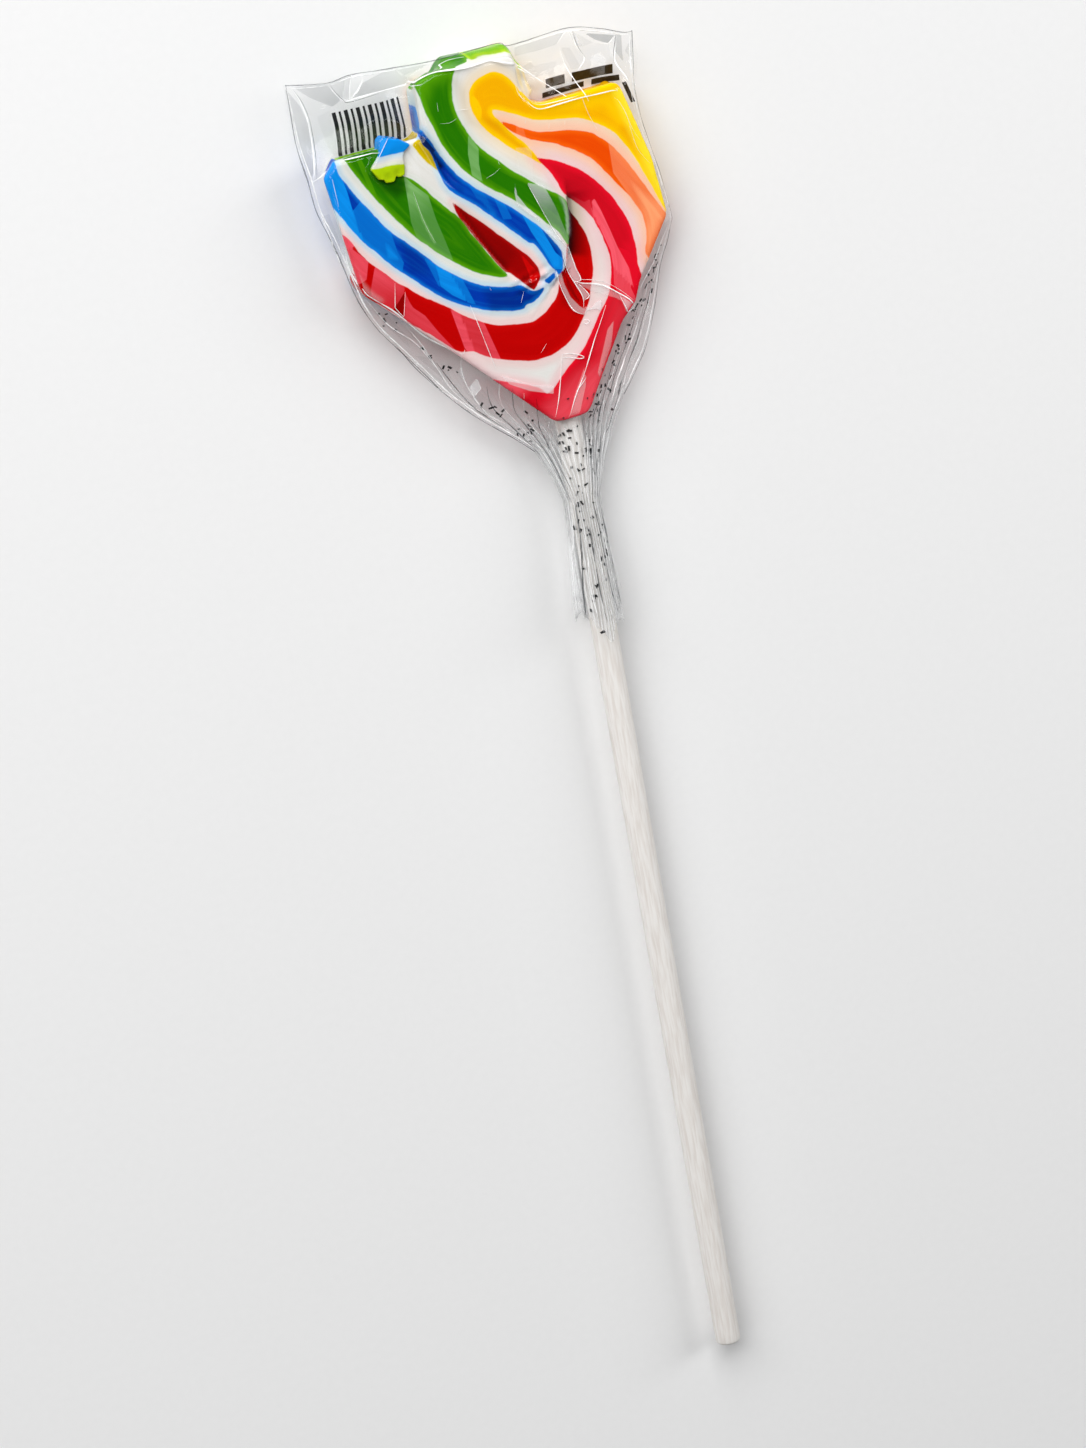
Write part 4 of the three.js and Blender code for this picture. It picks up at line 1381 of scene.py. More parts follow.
@dataclass
class FilmBag:
    """A flat tube of clear film, sealed across the top and gathered round the stick."""

    placement: Placement
    candy: CandyHead
    scrap: RopeScrap
    columns: int = 210
    rows: int = 340
    seal_half: float = 0.12
    loose_half: float = 0.45
    top_line: float = 57.2  # the row at which the film ends, before it follows its slanting top edge
    neck: float = -13.0
    neck_radius: float = 2.9
    on_stick: float = 2.35
    tail: float = 20.0
    tail_flare: float = 1.5
    ruffles: int = 5
    pleats: int = 15
    crumpling: float = 0.34
    clinging: float = 0.035  # what is left of the crumpling where the film lies on the candy
    tent: float = 4.4  # how far beyond the candy the film comes down to lie flat
    sealed: tuple[float, float] = (2.6, 4.6)  # from the top: the seal's end, and where film is slack
    gathers: tuple[float, float] = (-4, 15)  # where they are tight, and where they have run out
    rim_drop: float = 0.9  # how far the film comes down over the candy's rim
    edge_reach: float = 1.6  # over which the two layers part beside the bag's edge
    creases: tuple[tuple[float, float, float, float], ...] = (
        # (direction in degrees, distance from one to the next, phase, weight)
        (78, 9.0, 0.1, 0.5),
        (22, 7.3, 0.45, 0.38),
        (-38, 5.4, 0.2, 0.3),
        (130, 11.0, 0.7, 0.42),
        (5, 3.3, 0.3, 0.12),
        (-70, 2.7, 0.9, 0.1),
    )
    over_face: float = 0.12  # how far it clears the top of the candy or the scrap
    over_relief: float = 0.17  # how far it clears the candy's own rise and fall
    rim_rounding: float = 1.1  # of the candy's rim, as the film follows it
    scrap_slope: float = 2.6  # how far off the scrap it reaches the candy again
    blending: float = 0.1  # over which two surfaces run together
    off_floor: float = 0.12
    left_edge: Points = (
        (-2.9, -13),
        (-4.0, -9),
        (-6.0, -4.5),
        (-11.0, 1.0),
        (-14.6, 5.2),
        (-17.6, 9.4),
        (-22.1, 17.3),
        (-25.8, 25),
        (-27.6, 36.6),
        (-28.5, 43),
        (-28.6, 52),
        (-27.6, 60.5),
    )
    right_edge: Points = (
        (2.9, -13),
        (4.6, -8.2),
        (7.0, -3.1),
        (9.4, 0.3),
        (12.2, 3.1),
        (14.8, 6.4),
        (17.6, 11.8),
        (20.0, 17.4),
        (23.6, 23.6),
        (23.5, 30.3),
        (22.8, 38.5),
        (23.0, 44.7),
        (24.8, 52.5),
    )
    top_edge: Points = (
        (-28.6, 60.5),
        (-21.7, 58.9),
        (-17.9, 59.0),
        (-11.7, 58.1),
        (-4.5, 57.2),
        (4.3, 56.9),
        (6.3, 56.0),
        (15.2, 55.9),
        (19.9, 54.4),
        (23.4, 52.7),
        (25.0, 52.4),
    )

    def edges(self, up: np.ndarray) -> tuple[np.ndarray, np.ndarray]:
        """The bag's left and right edges at each height up.

        Args:
            up: Heights up, in head millimetres.

        Returns:
            How far across the two edges lie.
        """
        sides = []
        for side in (self.left_edge, self.right_edge):
            across, height = np.array(side).T
            sides.append(np.interp(up, height, across))
        return sides[0], sides[1]

    def top(self, across: np.ndarray) -> np.ndarray:
        """How far up the film's sealed edge lies."""
        where, height = np.array(self.top_edge).T
        return np.interp(across, where, height)

    def crumple(self, across: np.ndarray, up: np.ndarray) -> np.ndarray:
        """Flat facets with sharp folds between them, as slack film lies, within about 1.

        Args:
            across: Places across, in head millimetres.
            up: Places up, likewise.

        Returns:
            The rise of each place, as a share.
        """
        bent_a = across + 1.1 * ripples(across / 7, up / 7, 0.2)
        bent_b = up + 1.1 * ripples(across / 6, up / 6, 1.1)
        total = np.zeros_like(across)
        for degrees, wavelength, phase, weight in self.creases:
            angle = math.radians(degrees)
            along = (bent_a * math.cos(angle) + bent_b * math.sin(angle)) / wavelength + phase
            total += weight * (2 * triangle_wave(along) - 1)
        return total

    def pleating(self, share: np.ndarray, up: np.ndarray, face: Face) -> np.ndarray:
        """How far the gathered film stands up in its pleats, from 0 to about 1.7."""
        fan = share * self.pleats + 0.35 * np.sin(up / 5.0 + 9 * share) + (0.2 if face is Face.BACK else 0)
        return triangle_wave(fan) + 0.45 * triangle_wave(2.33 * fan + 0.3) + 0.25 * triangle_wave(5.1 * fan)

    def height(self, across: np.ndarray, up: np.ndarray, face: Face) -> np.ndarray:
        """Height of one layer of film above the floor.

        Args:
            across: Places across, in head millimetres.
            up: Places up, likewise.
            face: Which of the two layers.

        Returns:
            The height of each place, in millimetres.
        """
        shape = across.shape
        across, up = across.ravel(), up.ravel()
        middle = self.placement.middle
        left, right = self.edges(up)
        share = np.clip((across - left) / (right - left), 0, 1)
        places = np.column_stack([across, up])
        outside = -inside_by(places, self.candy.outline())
        tent = np.clip(1 - np.clip(outside - 0.1, 0, None) / self.tent, 0, 1) ** 1.35
        rim = smoothstep(-1.6, 1.0, outside)
        below_top = self.top(across) - up
        seal = 1 - smoothstep(*self.sealed, below_top)
        gather = 1 - smoothstep(*self.gathers, up)
        round_stick = 1 - smoothstep(self.neck, -1, up)
        tail = 1 - smoothstep(self.neck - self.tail, self.neck, up)
        slack = self.loose_half * (1 - seal) + self.seal_half * seal
        full = self.candy.top + self.over_face - middle
        lowered = full - self.rim_drop * rim * (1 - round_stick)
        half = slack + (lowered - slack) * tent * (1 - seal * (outside > 0.4))
        to_edge = np.minimum(across - left, right - across)
        lens = np.clip(to_edge / self.edge_reach, 0, 1) ** 0.5
        folds = self.pleating(share, up, face)
        pleat = gather * (1 - 0.35 * round_stick) * (folds - 0.85)
        on_candy = 1 - smoothstep(-0.5, 0.8, outside)
        free = (1 - on_candy) * smoothstep(-6, 4, up)
        wobble = self.crumple(across + (3.7 if face is Face.BACK else 0), up)
        calm = 0.7 * np.exp(-(((across + 17) / 7) ** 4) - ((up - 50.4) / 5) ** 4)  # over the printed bars
        reach = self.crumpling * free * (1 - 0.55 * tent) * (1 - calm) + self.clinging * on_candy
        half = (half + pleat * (0.75 * (1 - on_candy) + 0.05)) * lens
        over_stick = np.sqrt(np.clip(self.on_stick**2 - across**2, 0, None))
        half = np.maximum(half, over_stick * (1 - smoothstep(0, 3, up)))
        circle = 2 * np.sqrt(np.clip(share * (1 - share), 0, 1))
        bundle = (self.neck_radius + tail * self.tail_flare) * circle * (1 + 0.16 * (folds - 0.85))
        half = (1 - round_stick) * half + round_stick * bundle
        height = middle + face.value * half + reach * wobble * (0.35 + 0.65 * lens)
        if face is Face.FRONT:
            bulge = np.clip(self.candy.relief(places), -0.1, None)
            candy_height = self.candy_surface(outside) + bulge + self.over_relief
            height = self.soft_top(height, np.where(outside < 0, candy_height, 0))
            beyond_scrap = np.clip(-inside_by(places, self.scrap.outline()), 0, None)
            over_scrap = 1 - smoothstep(0, self.scrap_slope, beyond_scrap)
            lifted = middle + (self.scrap.top + self.over_face - middle) * over_scrap
            height = self.soft_top(height, lifted)
        return np.clip(height, self.off_floor, None).reshape(shape)

    def soft_top(self, one: np.ndarray, other: np.ndarray) -> np.ndarray:
        """The higher of two surfaces, blended where they meet."""
        return (one + other + np.sqrt((one - other) ** 2 + self.blending**2)) / 2

    def candy_surface(self, outside: np.ndarray) -> np.ndarray:
        """Height of the candy's rounded face, from how far outside its outline a place lies.

        Args:
            outside: The distances, negative inside.

        Returns:
            The heights, in millimetres.
        """
        rounding = self.rim_rounding
        inset = np.clip(-outside, 0, rounding)
        return self.candy.top - rounding + np.sqrt(rounding**2 - (rounding - inset) ** 2)

    def sheet_places(self, face: Face) -> np.ndarray:
        """The vertices of one layer, row by row from the neck's tail to the sealed top.

        Args:
            face: Which of the two layers.

        Returns:
            The vertices, in head millimetres.
        """
        row = np.linspace(self.neck - self.tail, self.top_line, self.rows)
        share = np.linspace(0, 1, self.columns)
        share, row = np.meshgrid(share, row)
        left, right = self.edges(row)
        bunched = 1 - smoothstep(self.neck, 2, row)
        share = (1 - bunched) * share + bunched * (0.5 - 0.5 * np.cos(math.pi * share))
        tail = 1 - smoothstep(self.neck - self.tail, self.neck, row)
        flare = tail * self.tail_flare * (0.6 + 0.4 * np.cos(self.ruffles * math.pi * share + 0.8))
        across = left - flare + (right - left + 2 * flare) * share
        up = row + (self.top(across) - self.top_line) * smoothstep(40, self.top_line, row)
        up = up + tail**2 * (1.6 * np.sin(9 * share + 0.6) + 0.7 * np.sin(23 * share))
        height = self.height(across, up, face)
        return np.column_stack([across.ravel(), up.ravel(), height.ravel()])

    def gathered(self, places: np.ndarray, face: Face) -> tuple[np.ndarray, np.ndarray]:
        """The gathers' painted shade and painted highlights: grey in the valleys of the pleats, white on
        their ridges.

        Args:
            places: The layer's vertices, in head millimetres.
            face: Which of the two layers.

        Returns:
            The painted shade's grey share and the painted highlights' white share.
        """
        across, up = places[:, 0], places[:, 1]
        left, right = self.edges(up)
        share = np.clip((across - left) / (right - left), 0, 1)
        folds = np.clip(self.pleating(share, up, face) / 1.7, 0, 1)
        free = smoothstep(0.2, 2.0, -inside_by(places, self.candy.outline()))
        bunched = (1 - smoothstep(-9, 6, up)) * free
        loose = (1 - smoothstep(4, 17, up)) * free
        grey = 0.07 * loose * smoothstep(0.55, 0.2, folds) + 0.3 * bunched * smoothstep(0.5, 0.15, folds)
        ridges = 0.1 + 0.42 * smoothstep(0.35, 0.8, folds)
        white = 0.1 * loose * smoothstep(0.6, 0.9, folds) + bunched * ridges
        return grey, white

    def build(self, face: Face) -> bpy.types.Object:
        """Lays one layer of film over or under the candy.

        Args:
            face: Which of the two layers.

        Returns:
            The layer.
        """
        piece = new_grid(f"film_{face.name.lower()}", self.columns, self.rows)
        places = self.sheet_places(face)
        grey, white = self.gathered(places, face)
        front = face is Face.FRONT
        # painted shade and painted glare of the film, with the gathers' painted shade and highlights added
        (PAINTED_FILM_SHADE if front else Tone("shade")).give(piece, places, also=grey)
        (PAINTED_FILM_GLARE if front else Tone("painted_film_glare")).give(piece, places, also=white)
        move_to(piece, self.placement.place(places))
        if not front:
            deselect_all()
            piece.select_set(True)
            bpy.context.view_layer.objects.active = piece
            bpy.ops.object.mode_set(mode="EDIT")
            bpy.ops.mesh.select_all(action="SELECT")
            bpy.ops.mesh.flip_normals()
            bpy.ops.object.mode_set(mode="OBJECT")
        smooth_shaded(piece)
        return piece


@dataclass(frozen=True)
class Fold:
    """A crisp fold in the film, seen as a fine line."""

    points: Points
    width: float = 0.22
    lift: float = 0.05
    ends: float = 0.5  # how early it thins out towards its ends; 0 where it doesn't
    smooth: bool = True
    above: float = 0.0  # mm that it stands clear of the film, as over a rim

    def line(self) -> np.ndarray:
        """Points along the fold, close together."""
        return smooth_line(self.points, closed=False, steps=8 if self.smooth else 1)


# Painted highlights: white lines on the film's folds, rims and edges, where they would catch the light.
PAINTED_FOLD_HIGHLIGHTS: tuple[Fold, ...] = (
    # just inside the bag's outline: the sealed top, the left edge, the right edge
    Fold([(-27.0, 59.6), (-21.7, 58.45), (-17.9, 58.5), (-11.7, 57.65), (-6.0, 57.0)], 0.16, 0.04, 0.2),
    Fold([(7.0, 55.5), (15.0, 55.35), (19.6, 53.95), (23.2, 52.3), (24.2, 52.1)], 0.18, 0.04, 0.2),
    Fold([(-27.6, 59.8), (-28.1, 52), (-28.0, 46), (-27.9, 41.3), (-27.1, 36.8),
        (-26.4, 31.8)], 0.17, 0.04, 0.2),
    Fold([(-26.4, 31.8), (-25.9, 28), (-25.3, 25.2), (-23.8, 21.4), (-21.6, 17.6),
        (-19.4, 13.9)], 0.2, 0.04, 0.2),
    Fold([(-19.4, 13.9), (-17.1, 9.7), (-14.2, 5.6), (-10.6, 1.4), (-6.2, -3.6)], 0.2, 0.04, 0.2),
    Fold([(24.3, 52.0), (23.4, 48.4), (22.55, 44.7), (22.3, 40.5), (22.7, 35)], 0.2, 0.04, 0.2),
    Fold([(22.7, 35), (23.05, 30.3), (23.1, 24.4), (21.6, 20.9), (19.6, 17.7)], 0.22, 0.04, 0.2),
    Fold([(19.6, 17.7), (17.2, 12.1), (14.4, 6.8), (11.8, 3.5), (8.9, 0.6)], 0.2, 0.04, 0.2),
    # the slack film's folds, left of the handle
    Fold([(-21.6, 58.7), (-21.2, 57.5), (-20.3, 55.9), (-19.5, 55.4), (-18.1, 55.4), (-14.7, 55.3),
        (-8.9, 55.0)]),
    Fold([(-17.8, 58.9), (-18.4, 57.5), (-19.1, 55.5)], 0.22),
    Fold([(-27.1, 59.9), (-26.3, 57.5), (-26.0, 54.4), (-26.4, 50.9), (-27.8, 46.0)], 0.22),
    Fold([(-16.7, 58.6), (-16.4, 57.8), (-17.4, 56.5), (-18.7, 55.7)], 0.22),
    Fold([(-28.1, 45.7), (-27.3, 46.2), (-25.8, 47.1)], 0.16),
    Fold([(-28.1, 41.3), (-27.7, 38.3), (-27.4, 35.5), (-26.9, 31.4)], 0.16),
    # right of the handle
    Fold([(15.6, 55.5), (15.9, 52.7), (16.6, 50.7), (15.0, 49.5)], 0.22),
    Fold([(13.4, 53.5), (13.5, 50.3), (14.5, 46.3), (14.7, 45.1)], 0.18),
    Fold([(22.5, 52.7), (21.5, 50.3), (20.9, 48.8), (21.8, 45.7), (21.7, 41.4)], 0.22),
    Fold([(3.6, 54.4), (5.3, 53.5), (7.4, 51.4), (9.2, 49.6), (12.1, 46.3)], 0.18),
    Fold([(13.1, 53.9), (15.2, 55.6)], 0.14, smooth=False),
    Fold([(18.6, 52.6), (20.8, 51.7), (22.1, 52.6)], 0.14),
    # over the handle's rims and the shoulders' rims
    Fold([(-10.6, 55.2), (-9.8, 55.6), (-8.2, 56.0), (-6.7, 56.15), (-5.3, 56.0), (-3.5, 55.7),
        (-1.5, 55.45), (0.6, 55.4), (2.1, 55.3), (4.0, 54.4), (5.3, 53.8), (6.4, 52.9), (7.5, 51.6),
        (9.0, 49.8)], 0.24, ends=0.25, above=0.5),
    Fold([(-5.6, 56.3), (-3.9, 56.65), (-2.7, 56.65), (-1.0, 56.45)], 0.13, above=0.5),
    Fold([(5.7, 47.9), (6.1, 47.2), (6.8, 46.5), (7.9, 46.2), (11.6, 46.1), (13.8, 46.0), (16.0, 45.8),
        (18.5, 45.6), (19.3, 45.3)], 0.19, ends=0.25, above=0.4),
    Fold([(6.2, 47.6), (6.9, 47.1), (8.0, 46.7), (11.5, 46.45), (13.4, 46.4)], 0.09, above=0.4),
    Fold([(18.6, 44.4), (19.1, 43.9), (19.7, 41.9), (20.1, 39.2), (20.9, 37.1)], 0.07),
    Fold([(19.8, 40.3), (20.1, 36.2), (21.4, 33.4)], 0.06),
    Fold([(-23.2, 47.95), (-20.4, 47.75), (-17.9, 47.6)], 0.16, ends=0.25, above=0.3),
    Fold([(-25.5, 45.9), (-25.6, 43.8), (-25.7, 41.6)], 0.09),
    Fold([(-26.3, 35.0), (-26.3, 31.7), (-25.4, 28.3), (-24.3, 26.8), (-22.3, 24.6), (-20.7, 22.4),
        (-18.7, 19.4), (-16.6, 17.2), (-14.0, 14.9), (-13.3, 15.3)], 0.26),
    Fold([(4.7, 50.9), (4.7, 49.6), (5.1, 48.6), (5.7, 47.9)], 0.1),
    # out of the pocket over the middle crease, to the bag's right corner
    Fold([(5.6, 20.0), (6.7, 19.3), (8.3, 18.7), (9.9, 17.8), (11.6, 16.2), (13.1, 14.6),
        (13.9, 13.0)], 0.3),
    Fold([(5.8, 20.3), (7.0, 19.8), (8.6, 19.2), (10.3, 18.2), (12.0, 16.5), (13.6, 14.4)], 0.1),
    Fold([(13.9, 13.0), (13.4, 13.0), (12.4, 12.8), (11.7, 15.9)], 0.16, smooth=False),
    Fold([(3.3, 22.4), (3.3, 20.3), (3.7, 17.7), (4.4, 15.7), (5.9, 14.6)], 0.18),
    Fold([(4.9, 24.4), (4.9, 22.8), (5.1, 21.2), (5.6, 19.6), (6.2, 17.3), (5.9, 15.7)], 0.17),
    Fold([(6.0, 25.3), (6.2, 23.0), (6.3, 21.7), (6.6, 19.9), (5.6, 19.9)], 0.2),
    Fold([(5.6, 19.9), (6.4, 18.9), (7.2, 17.2), (6.3, 16.8)], 0.16),
    Fold([(2.5, 36.2), (3.3, 33.0), (4.0, 30.3), (4.9, 27.3), (6.0, 24.9)], 0.13),
    Fold([(5.3, 13.8), (5.8, 13.9), (6.2, 13.4), (5.6, 13.2), (5.3, 13.6)], 0.16),
    # down to the tip
    Fold([(9.3, 15.0), (7.9, 12.9), (6.4, 10.8), (4.6, 8.0), (3.2, 5.9), (1.0, 3.0), (-0.9, -0.1)], 0.18),
    Fold([(0.8, 9.9), (0.0, 7.6), (-1.4, 3.8), (-2.7, 1.0)], 0.16),
    Fold([(0.7, 10.0), (1.9, 9.8), (3.3, 9.1), (4.0, 8.5), (3.3, 8.5), (1.8, 9.2), (0.8, 9.5)], 0.17),
    Fold([(3.2, 5.9), (3.4, 5.4), (1.5, 3.9)], 0.12),
    Fold([(-20.7, 28.3), (-21.7, 24.7), (-20.8, 22.9), (-19.6, 26.5)], 0.11, smooth=False),
    Fold([(-10.7, 21.5), (-10.3, 18.4), (-9.9, 14.5), (-9.5, 11.2)], 0.13),
    Fold([(-14.4, 40.4), (-14.0, 35.5), (-13.2, 32.1)], 0.06),
    Fold([(-16.1, 49.2), (-17.0, 48.2), (-18.2, 46.9), (-19.4, 45.7)], 0.13),
    # fine scratches
    Fold([(-7.4, 51.8), (-7.6, 50.4)], 0.06, smooth=False),
    Fold([(-7.8, 48.7), (-6.4, 48.4), (-5.2, 48.7)], 0.055),
    Fold([(-0.9, 39.7), (-2.0, 39.2), (-3.3, 38.9)], 0.06),
    Fold([(-0.9, 40.8), (-0.8, 40.2)], 0.06, smooth=False),
    Fold([(-4.8, 49.8), (-3.0, 49.5)], 0.055, smooth=False),
    Fold([(13.9, 46.1), (14.0, 44.8), (14.2, 43.3), (14.5, 42.1), (14.9, 40.4)], 0.07),
    Fold([(4.7, 45.3), (4.6, 44.8)], 0.055, smooth=False),
    Fold([(8.1, 43.9), (7.8, 43.0)], 0.055, smooth=False),
    Fold([(10.5, 43.5), (10.3, 42.8)], 0.055, smooth=False),
    Fold([(-7.2, 23.2), (-7.0, 22.6)], 0.055, smooth=False),
    Fold([(-3.2, 19.4), (-2.3, 21.0)], 0.05, smooth=False),
    Fold([(-1.0, 12.4), (-2.3, 11.2)], 0.05, smooth=False),
    # the gathers below the candy
    Fold([(-25.3, 27.0), (-22.9, 22.0), (-19.6, 17.9), (-17.3, 12.8)], 0.14),
    Fold([(-20.6, 21.3), (-18.8, 17.2), (-17.3, 12.8), (-16.1, 9.3), (-14.2, 6.1), (-13.0, 3.5)], 0.15),
    Fold([(-19.9, 12.5), (-17.1, 9.0), (-13.6, 5.6), (-9.0, 1.0)], 0.13),
    Fold([(-13.9, 14.8), (-14.2, 12.3), (-13.8, 9.2), (-12.9, 6.3), (-11.3, 3.0), (-7.4, -2.2)], 0.15),
    Fold([(-12.3, 10.2), (-12.0, 8.4), (-13.2, 7.3), (-13.6, 8.9)], 0.12, smooth=False),
    Fold([(-9.4, 9.0), (-9.6, 5.0), (-7.6, 0.6), (-4.6, -5.4), (-2.6, -12)], 0.15),
    Fold([(-6.4, 6.2), (-6.6, 2.4), (-5.2, -2.0), (-3.2, -7.6), (-1.8, -14)], 0.14),
    Fold([(-3.4, 1.0), (-3.6, -3.0), (-2.4, -8.4), (-1.0, -15)], 0.12),
    Fold([(21.6, 40.9), (22.4, 34.2), (22.9, 32.0), (22.7, 25.6), (22.9, 23.9)], 0.15),
    Fold([(22.9, 23.9), (20.6, 21.2), (19.0, 19.0), (15.7, 15.8), (14.7, 14.7)], 0.18),
    Fold([(20.9, 20.4), (17.4, 14.6), (14.6, 9.2), (11.0, 4.0), (6.6, -2.4)], 0.14),
    Fold([(17.2, 16.0), (14.0, 10.4), (10.4, 5.2), (7.0, 0.4), (4.2, -5.8)], 0.16),
    Fold([(12.6, 11.4), (9.6, 6.4), (6.2, 1.6), (4.0, -3.4), (2.4, -10)], 0.14),
    Fold([(7.4, 5.0), (4.6, 0.8), (2.8, -4.2), (1.4, -11.4)], 0.14),
    Fold([(3.4, 0.6), (1.8, -4.6), (0.6, -12.2)], 0.12),
    # the tail below the neck
    Fold([(-2.3, -13), (-2.6, -18), (-3.4, -25), (-3.8, -31)], 0.14),
    Fold([(-1.2, -12), (-1.2, -19), (-1.8, -26), (-1.6, -32)], 0.14),
    Fold([(0.2, -11), (0.4, -19), (0.2, -27), (0.6, -33)], 0.13),
    Fold([(1.4, -12), (1.8, -19), (2.0, -25), (2.6, -31)], 0.14),
    Fold([(2.4, -13), (2.9, -20), (3.6, -27), (3.9, -31)], 0.13),
)

# Painted shade: grey lines along the bag's edges and in the film's folds, where they look dark.
PAINTED_FOLD_SHADE: tuple[Fold, ...] = (
    Fold([(-27.7, 60.3), (-21.7, 58.8), (-17.9, 58.9), (-11.7, 58.0), (-4.5, 57.1), (4.3, 56.8),
        (6.3, 55.9), (15.2, 55.8), (19.9, 54.3), (23.4, 52.6), (24.8, 52.4)], 0.15, 0.03, 0.05),
    Fold([(24.8, 52.5), (23.9, 48.4), (23.0, 44.7), (22.75, 40.5), (23.1, 35), (23.5, 30.3),
        (23.5, 23.9)], 0.15, 0.03, 0.05),
    Fold([(23.5, 23.8), (22.0, 20.6), (19.9, 17.4), (17.5, 11.8), (14.7, 6.4), (12.1, 3.1),
        (9.3, 0.3)], 0.15, 0.03, 0.05),
    Fold([(-27.6, 60.4), (-28.55, 52), (-28.45, 46), (-28.4, 41.3), (-27.55, 36.6), (-26.85, 32),
        (-26.4, 28.4), (-25.7, 25), (-24.2, 21.1)], 0.15, 0.03, 0.05),
    Fold([(-24.2, 21.1), (-22.0, 17.3), (-19.8, 13.6), (-17.5, 9.4), (-14.5, 5.2), (-10.9, 1),
        (-6, -4.4)], 0.15, 0.03, 0.05),
    Fold([(-21.3, 58.5), (-20.9, 57.3), (-20.0, 55.7), (-19.3, 55.2), (-14.7, 55.1)], 0.1),
    Fold([(-26.8, 59.5), (-26.0, 57.3), (-25.7, 54.4), (-26.1, 50.9), (-27.4, 46.2)], 0.1),
    Fold([(15.9, 55.3), (16.1, 52.8), (16.8, 50.8)], 0.1),
    Fold([(22.2, 52.5), (21.2, 50.2), (20.6, 48.8)], 0.12),
    Fold([(4.8, 24.2), (4.75, 23.2), (4.85, 21.3)], 0.12),
    Fold([(-22.5, 18.6), (-20.5, 14.2), (-17.6, 9.4)], 0.16),
    Fold([(-17.4, 14.2), (-15.8, 10.2), (-13.4, 5.4), (-9.4, 0.4)], 0.22),
    Fold([(-11.2, 8.6), (-11.0, 5.2), (-8.8, 0.8), (-5.4, -5.0)], 0.2),
    Fold([(-7.8, 7.4), (-8.0, 3.6), (-6.2, -0.8), (-3.8, -6.6), (-2.2, -13)], 0.2),
    Fold([(-4.8, 4.8), (-5.0, 0.4), (-3.8, -4.6), (-1.9, -11)], 0.16),
    Fold([(19.6, 18.6), (16.0, 12.4), (12.8, 7.0), (8.8, 1.4), (5.4, -4.2)], 0.22),
    Fold([(14.8, 13.2), (11.6, 8.0), (8.0, 3.0), (5.2, -1.6), (3.2, -8)], 0.2),
    Fold([(10.2, 8.6), (7.2, 3.8), (4.8, -0.8), (3.0, -6.6), (1.9, -13)], 0.18),
    Fold([(5.6, 3.0), (3.6, -1.4), (2.2, -7.0), (1.0, -13)], 0.16),
    Fold([(-1.8, -13), (-1.9, -19), (-2.6, -26), (-2.8, -31)], 0.22),
    Fold([(-0.5, -12), (-0.4, -19), (-0.7, -27), (-0.4, -32)], 0.2),
    Fold([(0.9, -12), (1.2, -19), (1.1, -26), (1.7, -31)], 0.22),
    Fold([(2.0, -12), (2.4, -19), (2.9, -26), (3.3, -31)], 0.2),
)


@dataclass
class FilmFolds:
    """The crisp folds of the front film, as fine roofs standing on it that carry painted highlights and
    painted shade.
    """

    bag: FilmBag
    above_film: float = 0.08
    spacing: float = 0.25  # mm between the rows of a ribbon
    sharp_below: float = 20  # degrees; steeper edges stay sharp

    def ribbon(self, fold: Fold, index: int) -> bpy.types.Object:
        """One fold as a narrow roof that tapers at both ends.

        Args:
            fold: The fold.
            index: Its number, which varies its width.

        Returns:
            The roof.
        """
        corners = fold.line()
        lengths = np.hypot(*np.diff(corners, axis=0).T)
        run = np.concatenate([[0], np.cumsum(lengths)])
        steps = np.linspace(0, run[-1], max(4, round(run[-1] / self.spacing)))
        line = np.column_stack([np.interp(steps, run, corners[:, k]) for k in (0, 1)])
        along = np.gradient(line, axis=0)
        along /= np.linalg.norm(along, axis=1, keepdims=True)
        beside = np.column_stack([-along[:, 1], along[:, 0]])
        share = np.linspace(0, 1, len(line))
        taper = np.sin(math.pi * np.clip(share, 0.02, 0.98)) ** fold.ends
        width = fold.width * taper * (0.8 + 0.2 * np.sin(steps * 0.9 + index))
        piece = new_grid(f"fold_{index}", 3, len(line))
        rows = []
        for offset, lift in ((-0.5, 0.0), (0.0, 1.0), (0.5, 0.0)):
            spots = line + beside * (width * offset)[:, None]
            height = self.bag.height(spots[:, 0], spots[:, 1], Face.FRONT)
            roof = height + self.above_film + fold.above + lift * fold.lift * taper
            rows.append(np.column_stack([spots, roof]))
        move_to(piece, self.bag.placement.place(np.stack(rows, 1).reshape(-1, 3)))
        return piece

    def build(self, name: str, folds: Sequence[Fold]) -> bpy.types.Object:
        """A group of folds as one piece.

        Args:
            name: The piece's name.
            folds: The folds.

        Returns:
            The piece.
        """
        piece = join_pieces([self.ribbon(fold, i) for i, fold in enumerate(folds)], name)
        smooth_shaded(piece, self.sharp_below)
        return piece


